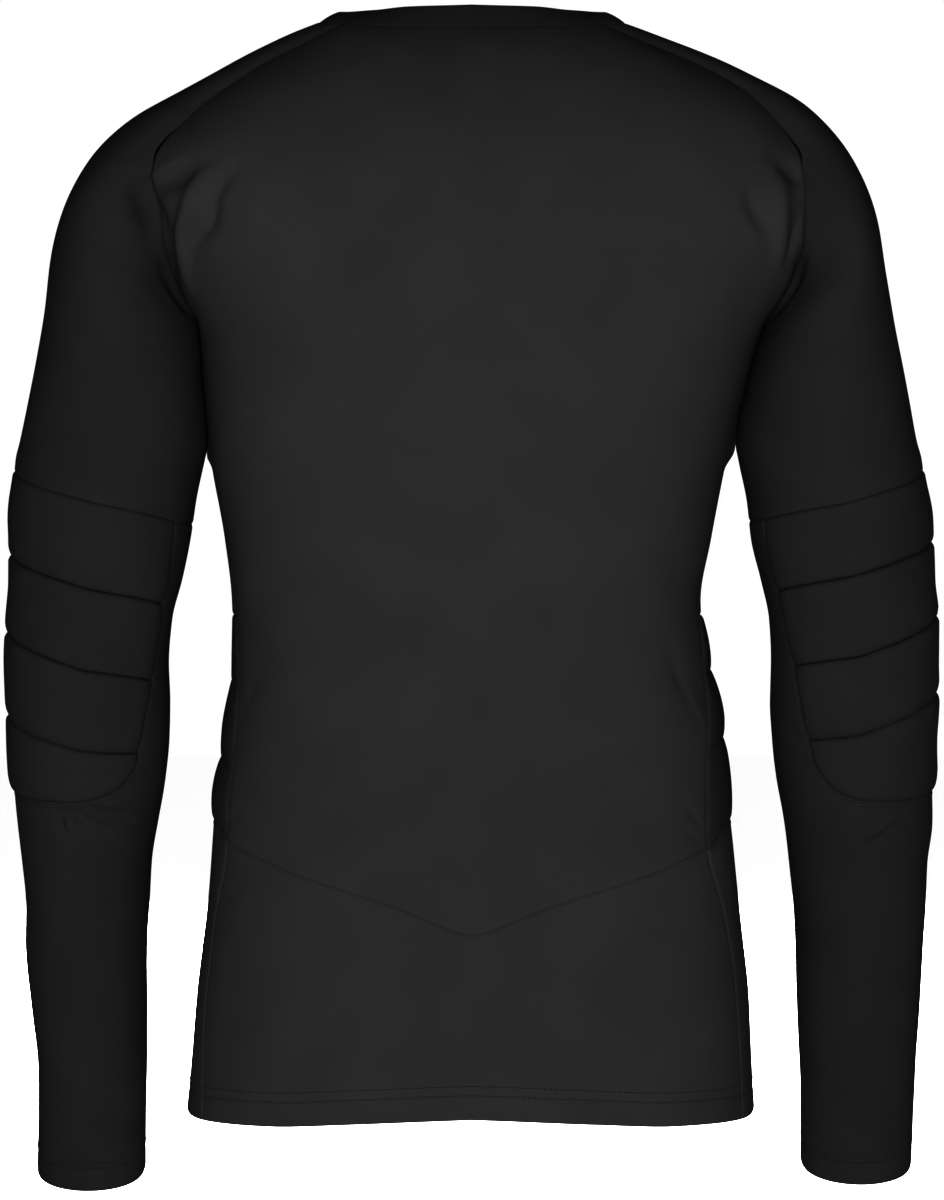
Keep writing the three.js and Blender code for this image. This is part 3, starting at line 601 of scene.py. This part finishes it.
def cut_piece(name, surface, keep, material, shift, rise=0, thickness=CLOTH):
    """One sewn piece, both faces: the kept cells of a surface moved out by shift, with the outer face
    raised by rise and its edges turned in at the seams."""
    points, normals = surface["points"], surface["normal"]
    rows, columns = points.shape[:2]
    number = np.arange(rows * columns).reshape(rows, columns)
    corners = np.stack([number[:-1, :-1], number[1:, :-1], number[1:, 1:], number[:-1, 1:]], -1)[keep]
    pairs = np.concatenate([corners[:, [i, (i + 1) % 4]] for i in range(4)])
    edges = pairs[~np.isin(pairs @ [rows * columns, 1], pairs @ [1, rows * columns])]
    flat, out = points.reshape(-1, 3), normals.reshape(-1, 3)
    used = np.unique(corners)
    turn_in = SEAM_ROLL * np.clip(1 - seam_distance(flat, edges, used) / SEAM_REACH, 0, 1) ** 2
    top = flat + out * ((shift + rise).ravel() - turn_in)[:, None]
    under = flat + out * (shift - thickness).ravel()[:, None]
    surface["top"].reshape(-1, 3)[used] = top[used]
    renumber = np.zeros(rows * columns, int)
    renumber[used] = np.arange(len(used))
    face = renumber[corners]
    a, b = renumber[edges].T
    inner = len(used)
    faces = np.concatenate([face, face[:, ::-1] + inner, np.stack([b, a, a + inner, b + inner], -1)])
    knit = knit_places(points).reshape(-1, 3)[used]
    return new_object(name, np.concatenate([top[used], under[used]]), faces, material, np.concatenate([knit, knit]))


def knit_finish(name, colour, wale=0.0009):
    """Black jersey knit without gloss: rows of small V stitches and a faint unevenness."""
    material = bpy.data.materials.new(name)
    material.use_nodes = True
    nodes, links = material.node_tree.nodes, material.node_tree.links
    shader = nodes["Principled BSDF"]

    def step(kind, first, second=None):
        node = nodes.new("ShaderNodeMath")
        node.operation = kind
        for socket, value in zip(node.inputs, (first, second)):
            if isinstance(value, (int, float)):
                socket.default_value = value
            elif value is not None:
                links.new(value, socket)
        return node.outputs[0]

    def noise(scale, detail):
        node = nodes.new("ShaderNodeTexNoise")
        node.inputs["Scale"].default_value = scale
        node.inputs["Detail"].default_value = detail
        links.new(where.outputs["Object"], node.inputs["Vector"])
        return node.outputs[0]

    place = nodes.new("ShaderNodeAttribute")
    place.attribute_name = "knit"
    where = nodes.new("ShaderNodeTexCoord")
    split = nodes.new("ShaderNodeSeparateXYZ")
    links.new(place.outputs["Vector"], split.inputs[0])
    from_middle = step("ABSOLUTE", step("SUBTRACT", step("FRACT", step("DIVIDE", split.outputs["X"], wale)), 0.5))
    legs = step("SINE", step("MULTIPLY", from_middle, 2 * math.pi))
    slanted = step("ADD", step("DIVIDE", split.outputs["Y"], wale * 0.8), step("MULTIPLY", from_middle, 1.3))
    loops = step("ADD", step("MULTIPLY", step("SINE", step("MULTIPLY", slanted, 2 * math.pi)), 0.35), 0.65)
    stitches = step("MULTIPLY", legs, loops)
    patches, fuzz = noise(26, 3), noise(2600, 2)

    shade = nodes.new("ShaderNodeMix")
    shade.data_type = "RGBA"
    shade.inputs["A"].default_value = (*[c * 0.75 for c in colour], 1)
    shade.inputs["B"].default_value = (*[c * 1.25 for c in colour], 1)
    links.new(step("ADD", step("MULTIPLY", patches, 0.6), step("MULTIPLY", stitches, 0.4)), shade.inputs["Factor"])
    links.new(shade.outputs["Result"], shader.inputs["Base Color"])
    rough = nodes.new("ShaderNodeMapRange")
    rough.inputs["To Min"].default_value = 0.5
    rough.inputs["To Max"].default_value = 0.64
    links.new(patches, rough.inputs["Value"])
    links.new(rough.outputs["Result"], shader.inputs["Roughness"])
    bump = nodes.new("ShaderNodeBump")
    bump.inputs["Strength"].default_value = 0.5
    bump.inputs["Distance"].default_value = 0.0001
    links.new(step("ADD", stitches, step("MULTIPLY", fuzz, 0.5)), bump.inputs["Height"])
    links.new(bump.outputs["Normal"], shader.inputs["Normal"])
    shader.inputs["Specular IOR Level"].default_value = 0.0
    return material


black_knit = knit_finish("black_knit", (0.0066, 0.0064, 0.0066))
back_surface = body_surface(BACK_COLUMNS)
back_lie = lie(back_surface["points"]) + underarm_fill(back_surface["points"])
back_panel = cut_piece("back_panel_cloth", back_surface,
                       between(BODY_ROWS, ["pads", "waist", "chest"])[:, None] & between(BACK_COLUMNS, ["back"]),
                       black_knit, shift=back_lie)
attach(back_panel, "root")
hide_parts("back_panel")

# Lower back panel: the same knit from the pointed seam to the hem, which is turned up 2 cm and
# held by two rows of stitching.
TURNED = 3.0
GROOVE = 0.55


def hem_lie(surface):
    """The lower row of stitching draws the turned hem in to a groove."""
    row = surface["row"] == "hem"
    return -GROOVE * np.exp(-(((surface["up"] - HEM_GROOVE) * HEM_DEPTH / 0.9) ** 2)) * row


lower_back = cut_piece("lower_back_panel_cloth", back_surface,
                       between(BODY_ROWS, ["hem", "lower"])[:, None] & between(BACK_COLUMNS, ["back"]),
                       black_knit, shift=back_lie, rise=hem_lie(back_surface),
                       thickness=np.where(back_surface["row"] == "hem", TURNED, CLOTH))
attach(lower_back, "root")
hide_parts("lower_back_panel")

# Front panel: hem to neck in one piece of the knit, wrapped round both sides to the seams that run
# up the back, and cut out round the side pads.
over_pad = evenly(lines(45, 2.8), round_body(78, 105))
half_front = evenly(lines(190, 4.0, last=PLAIN), round_body(105, 180))
FRONT_COLUMNS = [(1, "pad", share) for share in over_pad] + [(1, "front", share) for share in half_front]
FRONT_COLUMNS += [(-side, zone, share) for side, zone, share in FRONT_COLUMNS[-2::-1]]
front_surface = body_surface(FRONT_COLUMNS)
front_lie = lie(front_surface["points"]) + underarm_fill(front_surface["points"])
round_the_pads = ~(beside(BODY_ROWS, ["pads"])[:, None] & beside(FRONT_COLUMNS, ["pad"]))
front_panel = cut_piece("front_panel_cloth", front_surface, round_the_pads, black_knit,
                        shift=front_lie, rise=hem_lie(front_surface),
                        thickness=np.where(front_surface["row"] == "hem", TURNED, CLOTH))
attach(front_panel, "root")
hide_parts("front_panel")

# Side pads: knit over thin foam, let into the sides over the hips and lower ribs, with two sewn
# channels across that pucker the cloth a little beside them.
SIDE_RISE = 3.2
# How full each pad stands from its foot to its top, as the photo shows its outline.
SIDE_FULL = {"left": ((0, 0.45, 0.7, 1), (1, 0.9, 0.45, 0.2)), "right": ((0, 0.5, 1), (1, 1, 0.75))}
CHANNEL = 2.6
padded_knit = knit_finish("padded_knit", (0.0045, 0.0043, 0.0045))


def puff(share, channels):
    """Height of the foam between its sewn channels, from 0 at a channel to 1."""
    total = np.zeros_like(share)
    for low, high in zip(channels[:-1], channels[1:]):
        f = np.clip((share - low) / (high - low), 0, 1)
        total = np.maximum(total, np.sin(np.pi * f) ** 0.5 * ((f > 0) & (f < 1)))
    return total


def puckers(across, away, count):
    """Small gathers that a row of stitching draws in the foam, dying out a few millimetres off."""
    waves = 0.5 + 0.5 * np.sin(across * count * 6.28 + 3 * np.sin(across * 9))
    return 1 - 0.3 * np.exp(-((away / 6) ** 2)) * waves


column_side = np.array([column[0] for column in FRONT_COLUMNS])
for name, side in (("left", 1), ("right", -1)):
    across, up = front_surface["across"], front_surface["up"]
    away = np.min([np.abs(up - place) for place in SIDE_CHANNELS[name]], axis=0) * PAD_HEIGHT
    rise = SIDE_RISE * np.sin(np.pi * np.clip(across, 0, 1)) ** 0.45 * puff(up, SIDE_CHANNELS[name])
    rise *= np.interp(up, *SIDE_FULL[name])
    half = (column_side[:-1] == side) & (column_side[1:] == side) & between(FRONT_COLUMNS, ["pad"])
    pad = cut_piece(f"side_pad_{name}_quilt", front_surface, between(BODY_ROWS, ["pads"])[:, None] & half,
                    padded_knit, shift=front_lie, rise=rise * puckers(across, away, 5), thickness=CHANNEL)
    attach(pad, "root")
    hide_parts(f"side_pad_{name}")

# Upper sleeves: raglan sleeves of the knit from the neck to above the elbow, each a narrow saddle
# over the shoulder that widens to the whole arm.
ELBOW_LINES = {
    "left": table("inner middle outer",
        (-315, -303.5, -281), (-365.5, -356.5, -333), (-413, -406, -381), (-452, -448, -434), (-463, -476, -480)),
    "right": table("inner middle outer",
        (-313, -303.5, -281), (-357.5, -348.5, -325), (-405, -398, -371), (-446, -440, -420), (-460, -475, -480)),
}
ELBOW_INNER = table("z left right",
    (-250, 0.2, 0.2), (-317, 0.165, 0.155), (-352, 0.155, 0.15), (-378, 0.145, 0.17), (-405, 0.17, 0.22),
    (-430, 0.225, 0.26), (-462, 0.27, 0.31), (-530, 0.2, 0.2))
ELBOW_FRONT = 14 / 9
FOOT_ROUND = 12
CUFF = {"left": -733, "right": -729}
CUFF_DEPTH = 18
CUFF_GROOVE = 0.8
BY_CHANNEL = np.array([0, 0.4, 0.9, 1.6, 2.5, 3.8])
PAD_LENGTHS = (("pad4", 32), ("pad3", 44), ("pad2", 50), ("pad1", 54))
PAD_PARTS = [part for part, _ in PAD_LENGTHS]
ELBOW_WIDTH = 190
# The forearm's length, and where its lines draw together below the elbow pad for the tucks.
FOREARM, TUCKS_FROM, TUCK_STEP = 240, 190, 1.6


def elbow_height(name, line, turn, inner):
    """Height of a line across an elbow pad: 0 its top seam, 1 to 3 the channels, 4 its foot."""
    f = np.where(turn <= 1, turn, 2 - turn)
    row = {key: value[line] for key, value in ELBOW_LINES[name].items()}
    z = np.where(f < 0.5, mix(row["inner"], row["middle"], np.maximum(0, (f - 0.15) / 0.35)),
                 mix(row["middle"], row["outer"], (f - 0.5) / 0.5))
    if line == 4:
        z = z + FOOT_ROUND * np.maximum(0, 1 - np.abs(f - inner) / 0.13) ** 2 * (turn <= 1)
    return z


arm_slope = np.stack([read(ARM, to_neck, "out_left"), to_neck], -1)
SLEEVE_ROWS = [("cuff", share) for share in closer(lines(CUFF_DEPTH, 2.2), CUFF_DEPTH, [CUFF_GROOVE])]
by_pad = (TUCKS_FROM + np.arange(TUCK_STEP, 45.5, TUCK_STEP)) / FOREARM
below_pad = np.concatenate([lines(TUCKS_FROM, 3.2, last=PLAIN) * TUCKS_FROM / FOREARM, by_pad,
                            1 - BY_SEAM[::-1] / FOREARM])
SLEEVE_ROWS += [("forearm", share) for share in below_pad]
for part, length in PAD_LENGTHS:
    shares = lines(length, 2.6, first=BY_SEAM if part == "pad4" else BY_CHANNEL,
                   last=BY_SEAM if part == "pad1" else BY_CHANNEL)
    SLEEVE_ROWS += [(part, share) for share in shares[part != "pad4":]]
SLEEVE_ROWS += [("arm", share) for share in lines(115, 3.2, last=PLAIN)]
SLEEVE_ROWS += [("shoulder", share) for share in evenly(lines(260, 3.2, first=PLAIN), arm_slope)[1:]]
SLEEVE_COLUMNS = [(zone, share) for zone, length in (("inside", 24), ("elbow", ELBOW_WIDTH), ("under", 70))
                  for share in lines(length, 2.9)]


# The sleeve's head is evened away from the raglan seams, to a little below the underarm.
HEAD_PASSES = 16
HEAD_TURN = 0.14
HEAD_FOOT, HEAD_FADE, NECK_FADE = -262, 30, 14


def sleeve_surface(side):
    name = "left" if side > 0 else "right"
    columns = SLEEVE_COLUMNS if side > 0 else SLEEVE_COLUMNS[::-1]
    zone, share = (np.array([column[i] for column in columns])[None, :] for i in range(2))
    row_zone, row_share = (np.array([row[i] for row in SLEEVE_ROWS])[:, None] for i in range(2))
    z = np.full((len(SLEEVE_ROWS), len(columns)), -300.0)
    fold_line = CUFF[name] + CUFF_DEPTH
    for _ in range(14):
        inner = read(ELBOW_INNER, z, name)
        turn = np.where(zone == "inside", inner * share,
                        np.where(zone == "elbow", mix(inner, ELBOW_FRONT, share), mix(ELBOW_FRONT, 2, share)))
        height = [elbow_height(name, line, turn, inner) for line in range(5)]
        bands = {"cuff": (CUFF[name], fold_line), "forearm": (fold_line, height[4]), "pad4": (height[4], height[3]),
                 "pad3": (height[3], height[2]), "pad2": (height[2], height[1]), "pad1": (height[1], height[0]),
                 "arm": (height[0], UNDERARM), "shoulder": (UNDERARM, 0)}
        for part, (low, high) in bands.items():
            z = np.where(row_zone == part, mix(low, high, row_share), z)
    points = sleeve_point(side, z, turn)
    smooth = ease(np.minimum(turn, 2 - turn) / HEAD_TURN) * ease(-z / NECK_FADE) * ease((z - HEAD_FOOT) / HEAD_FADE)
    points = mix(points, evened(points, HEAD_PASSES), smooth[..., None])
    return laid_out(points, zone, row_zone, share + 0 * z, row_share + 0 * z)


# The sleeves' knit is coloured darker than the body's.
sleeve_knit = knit_finish("sleeve_knit", (0.0044, 0.0042, 0.0045))
sleeves = {"left": sleeve_surface(1), "right": sleeve_surface(-1)}
for name, surface in sleeves.items():
    surface["lie"] = lie(surface["points"])
    surface["columns"] = SLEEVE_COLUMNS if name == "left" else SLEEVE_COLUMNS[::-1]
    upper = cut_piece(f"upper_sleeve_{name}_cloth", surface,
                      between(SLEEVE_ROWS, ["arm", "shoulder"])[:, None] & np.ones(len(SLEEVE_COLUMNS) - 1, bool),
                      sleeve_knit, shift=surface["lie"])
    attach(upper, "root")
    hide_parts(f"upper_sleeve_{name}")

# Elbow pads: knit over foam, let into the sleeve behind the elbow, with three sewn channels across.
# The foam thins out to the flush top seam.
ELBOW_RISE = 3.8
# Over how far a section rises from the channel below it, from the one above and from the sides.
FOOT_REACH, TOP_REACH, SIDE_REACH = 8, 3, 8


def quarter(distance, reach):
    """A rounded edge, from 0 at a seam to 1 at reach from it."""
    return np.sqrt(1 - (1 - np.clip(distance / reach, 0, 1)) ** 2)


for name, surface in sleeves.items():
    across, up, row = surface["across"], surface["up"], surface["row"]
    long = sum(length * (row == part) for part, length in PAD_LENGTHS)
    thinned = np.where(row == "pad1", 1 - 0.75 * ease((up - 0.35) / 0.65), 1)
    height = quarter(up * long, FOOT_REACH) * quarter((1 - up) * long, TOP_REACH) * thinned
    height *= quarter(across * ELBOW_WIDTH, SIDE_REACH) * quarter((1 - across) * ELBOW_WIDTH, SIDE_REACH)
    from_channel = np.where(row == "pad4", 1 - up, np.where(row == "pad1", up, np.minimum(up, 1 - up))) * 46
    rise = ELBOW_RISE * height * puckers(across, from_channel, 11)
    pad = cut_piece(f"elbow_pad_{name}_quilt", surface,
                    between(SLEEVE_ROWS, PAD_PARTS)[:, None] & between(surface["columns"], ["elbow"]), padded_knit,
                    shift=surface["lie"], rise=rise, thickness=CHANNEL)
    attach(pad, "root")
    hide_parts(f"elbow_pad_{name}")

# Lower sleeves: the knit from the elbow to the turned cuff, cut out round the elbow pad and drawn
# into small tucks along the pad's edge.
for name, surface in sleeves.items():
    groove = np.exp(-(((surface["up"] - CUFF_GROOVE) * CUFF_DEPTH / 0.9) ** 2)) * (surface["row"] == "cuff")
    lower = cut_piece(f"lower_sleeve_{name}_cloth", surface,
                      between(SLEEVE_ROWS, PAD_PARTS + ["forearm", "cuff"])[:, None]
                      & ~(beside(SLEEVE_ROWS, PAD_PARTS)[:, None] & beside(surface["columns"], ["elbow"])),
                      sleeve_knit, shift=surface["lie"], rise=-GROOVE * groove,
                      thickness=np.where(surface["row"] == "cuff", TURNED, CLOTH))
    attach(lower, "root")
    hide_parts(f"lower_sleeve_{name}")

# Neckband: a folded strip of the knit sewn into a ring on the neck seam.
# The band's knit is the body's black darkened to about half: painted shade for the band leaning up out of the light.
band_finish_painted_shade = knit_finish("band_knit", (0.0032, 0.0031, 0.0032))
BAND_LEAN = table("deg lean", (0, 15), (30, 28), (50, 45), (90, 60), (130, 50), (180, 40))


def neck_line():
    """Points round the neck seam, from the centre back over the left shoulder."""
    level = np.zeros(40)
    halves = []
    for side, name in ((1, "left"), (-1, "right")):
        back = body_point(side, level, np.linspace(0, read(RAGLAN, 0.0, "back_" + name), 40))
        front = body_point(side, level, np.linspace(read(RAGLAN, 0.0, "front"), 180, 40))
        halves.append(np.concatenate([back[:-1], sleeve_point(side, level, np.linspace(0, 2, 40))[:-1], front]))
    whole = rolled(np.concatenate([halves[0], halves[1][-2:0:-1]]))
    closed = np.vstack([whole, whole[:1]])
    run = run_of(closed)
    return at_run(np.linspace(0, run[-1], 221)[:-1], run, closed)


ring = neck_line()
for _ in range(3):
    ring = (np.roll(ring, 1, 0) + 2 * ring + np.roll(ring, -1, 0)) / 4
ahead, behind = np.roll(ring, -1, 0), np.roll(ring, 1, 0)
out = np.stack([behind[:, 1] - ahead[:, 1], ahead[:, 0] - behind[:, 0], 0 * ring[:, 0]], -1)
out /= np.linalg.norm(out, axis=1, keepdims=True)
out *= np.sign((out * ring * [1, 1, 0]).sum(1, keepdims=True))
neck_depth = np.where(ring[:, 1] > 0, NECK_BACK, NECK_FRONT)
round_neck = np.degrees(np.arctan2(np.abs(ring[:, 0]) / NECK_HALF, ring[:, 1] / neck_depth))
angle = np.radians(read(BAND_LEAN, round_neck, "lean"))[:, None]
up = np.array([0, 0, 1]) * np.cos(angle) - out * np.sin(angle)
face = out * np.cos(angle) + np.array([0, 0, 1]) * np.sin(angle)
BAND_SECTION = [(-0.4, -1.3), (0.0, -0.4), (0.9, 0.1), (3, 0.45), (6, 0.7), (9, 0.75), (12, 0.5), (13.8, 0.2),
                (14.7, -0.4), (15, -1.2), (14.7, -2.0), (13.8, -2.4), (9, -2.2), (3, -2.3), (-2.4, -3.4), (-2.6, -2.3)]
grid = np.stack([ring + up * height + face * depth for height, depth in BAND_SECTION])
count, around = grid.shape[:2]
number = np.arange(count * around).reshape(count, around)
right, above = np.roll(number, -1, 1), np.roll(number, -1, 0)
faces = np.stack([number, above, np.roll(above, -1, 1), right], -1).reshape(-1, 4)
band_knit = np.stack([np.broadcast_to(np.arange(around) * 1.95, (count, around)),
                      np.broadcast_to(np.arange(count)[:, None] * 2.2, (count, around)), np.zeros((count, around))], -1)
neckband = new_object("neckband_cloth", grid.reshape(-1, 3), faces, band_finish_painted_shade, band_knit.reshape(-1, 3) * MM)
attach(neckband, "root")
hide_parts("neckband")

# Stitching: rows of black polyester thread that hold the hem, the cuffs and the neck seam and run
# beside the pads, each stitch lying on the cloth with its two ends drawn into it.
THREAD = 0.26
STITCH = 2.3
PITCH = 3.1


def thread_finish():
    """Twisted black thread without gloss."""
    material = bpy.data.materials.new("black_thread")
    material.use_nodes = True
    nodes, links = material.node_tree.nodes, material.node_tree.links
    shader = nodes["Principled BSDF"]
    where = nodes.new("ShaderNodeTexCoord")
    twist = nodes.new("ShaderNodeTexNoise")
    twist.inputs["Scale"].default_value = 3200
    links.new(where.outputs["Object"], twist.inputs["Vector"])
    shade = nodes.new("ShaderNodeMix")
    shade.data_type = "RGBA"
    shade.inputs["A"].default_value = (0.0026, 0.0026, 0.0027, 1)
    shade.inputs["B"].default_value = (0.0046, 0.0046, 0.0048, 1)
    links.new(twist.outputs[0], shade.inputs["Factor"])
    links.new(shade.outputs["Result"], shader.inputs["Base Color"])
    bump = nodes.new("ShaderNodeBump")
    bump.inputs["Distance"].default_value = 0.00005
    links.new(twist.outputs[0], bump.inputs["Height"])
    links.new(bump.outputs["Normal"], shader.inputs["Normal"])
    shader.inputs["Roughness"].default_value = 0.45
    shader.inputs["Specular IOR Level"].default_value = 0.0
    return material


black_thread = thread_finish()


def thread_bars(starts, ends, out):
    """Points and triangles of stitches that lie from starts to ends, on cloth that faces out."""
    along = ends - starts
    length = np.linalg.norm(along, axis=1, keepdims=True)
    aside = crossed(out, along)
    points = [starts - out * 0.3]
    for f, lift in ((0.14, 0.02), (0.5, 0.16), (0.86, 0.02)):
        middle = starts + along * f + out * lift
        points += [middle + aside * THREAD, middle + out * THREAD, middle - aside * THREAD, middle - out * THREAD]
    points.append(ends - out * 0.3)
    faces = []
    for i in range(4):
        j = (i + 1) % 4
        faces += [(0, 1 + i, 1 + j), (13, 9 + j, 9 + i)]
        for low in (1, 5):
            faces += [(low + i, low + 4 + i, low + 4 + j), (low + i, low + 4 + j, low + j)]
    starts_at = 14 * np.arange(len(starts))[:, None, None]
    return np.stack(points, 1).reshape(-1, 3), (np.array(faces)[None] + starts_at).reshape(-1, 3)


def along_row(points, out, pitch=PITCH, stitch=STITCH):
    """Starts, ends and facings of the stitches along a line of points."""
    run = run_of(points)
    begin = np.arange(0.3, run[-1] - stitch, pitch)
    facing = at_run(begin + stitch / 2, run, out)
    facing /= np.linalg.norm(facing, axis=1, keepdims=True)
    return at_run(begin, run, points), at_run(begin + stitch, run, points), facing


def sewn(name, rows):
    starts, ends, out = (np.concatenate([row[i] for row in rows]) for i in range(3))
    points, faces = thread_bars(starts, ends, out)
    piece = new_object(name, points, faces, black_thread)
    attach(piece, "root")


def off_edge(surface, row, column, way, distance):
    """The place on the cloth at a distance from a grid point, along a row or a column of the grid."""
    steps = np.arange(8)
    r = np.clip(row + way[0] * steps, 0, surface["top"].shape[0] - 1)
    c = np.clip(column + way[1] * steps, 0, surface["top"].shape[1] - 1)
    path = surface["top"][r, c]
    return at_run(distance, run_of(path), path), surface["normal"][r[1], c[1]]


def row_of(rows, zone, share):
    """The line of a grid nearest to a share of a zone."""
    return min((i for i, row in enumerate(rows) if row[-2] == zone), key=lambda i: abs(rows[i][-1] - share))


def line_off(surface, spots, way, distance):
    found = [off_edge(surface, row, column, way, distance) for row, column in spots]
    return np.array([place for place, _ in found]), np.array([out for _, out in found])


def over_row(surface, row, up, distance, columns=None):
    """Places along a row of a surface, a distance above it, or below it where up is -1."""
    columns = range(surface["top"].shape[1]) if columns is None else columns
    return line_off(surface, [(row, column) for column in columns], (up, 0), distance)


hem_rows = []
for surface in (back_surface, front_surface):
    for row, distance in ((row_of(BODY_ROWS, "hem", HEM_GROOVE), 0), (row_of(BODY_ROWS, "lower", 0), 0.6)):
        hem_rows.append(along_row(*over_row(surface, row, 1, distance)))
sewn("hem_stitching", hem_rows)

neck_rows = []
for surface, pieces in ((back_surface, BODY_ROWS), (front_surface, BODY_ROWS), (sleeves["left"], SLEEVE_ROWS),
                        (sleeves["right"], SLEEVE_ROWS)):
    neck_rows.append(along_row(*over_row(surface, len(pieces) - 1, -1, 1.4), pitch=2.6, stitch=2.0))
sewn("neck_seam_stitching", neck_rows)

seam_row = row_of(BODY_ROWS, "lower", 1)
# Heights between which stitches cross the seam behind each side pad like rungs.
LADDERS = {"left": [(-454, -459), (-475, -490), (-500, -510)], "right": [(-484, -491)]}
for name, side in (("left", 1), ("right", -1)):
    rows = []
    pad_columns = [i for i, column in enumerate(FRONT_COLUMNS) if column[:2] == (side, "pad")]
    for distance in (1.4, 2.9):
        rows.append(along_row(*over_row(front_surface, seam_row, -1, distance, pad_columns), pitch=2.8, stitch=2.1))
    back_edge, pad_edge, inward = (-1, 0, 1) if side > 0 else (0, -1, -1)
    back_edge, pad_edge = back_edge % len(BACK_COLUMNS), pad_edge % len(FRONT_COLUMNS)
    seam = back_surface["points"][:, back_edge]
    for high, low in LADDERS[name]:
        for height in np.arange(low, high, 2.4):
            row = int(np.argmin(np.abs(seam[:, 2] - height)))
            start, out_a = off_edge(back_surface, row, back_edge, (0, -inward), 1.5)
            end, out_b = off_edge(front_surface, row, pad_edge, (0, inward), 1.5)
            facing = (out_a + out_b) / np.linalg.norm(out_a + out_b)
            rows.append((start[None], end[None], facing[None]))
    sewn(f"side_pad_stitching_{name}", rows)

for name, surface in sleeves.items():
    rows = [along_row(*over_row(surface, row_of(SLEEVE_ROWS, "cuff", CUFF_GROOVE), 1, 0)),
            along_row(*over_row(surface, row_of(SLEEVE_ROWS, "forearm", 0), 1, 0.6))]
    sewn(f"cuff_stitching_{name}", rows)

    zones = [column[0] for column in surface["columns"]]
    on_pad = [i for i, zone in enumerate(zones) if zone == "elbow"]
    toward = 1 if name == "left" else -1
    inner_edge = (on_pad[0] if name == "left" else on_pad[-1]) - toward
    front_edge = (on_pad[-1] if name == "left" else on_pad[0]) + toward
    foot = row_of(SLEEVE_ROWS, "forearm", 1)
    pad_rows = [i for i, row in enumerate(SLEEVE_ROWS) if row[0] in PAD_PARTS]
    rows = []
    for distance in (1.6, 3.6):
        down = line_off(surface, [(row, inner_edge) for row in pad_rows[::-1]], (0, -toward), distance)
        over = over_row(surface, foot, -1, distance, on_pad[::toward])
        rise = line_off(surface, [(row, front_edge) for row in pad_rows], (0, toward), distance)
        rows.append(along_row(*(np.concatenate(parts) for parts in zip(down, over, rise)), pitch=2.9, stitch=2.2))
    sewn(f"elbow_pad_stitching_{name}", rows)
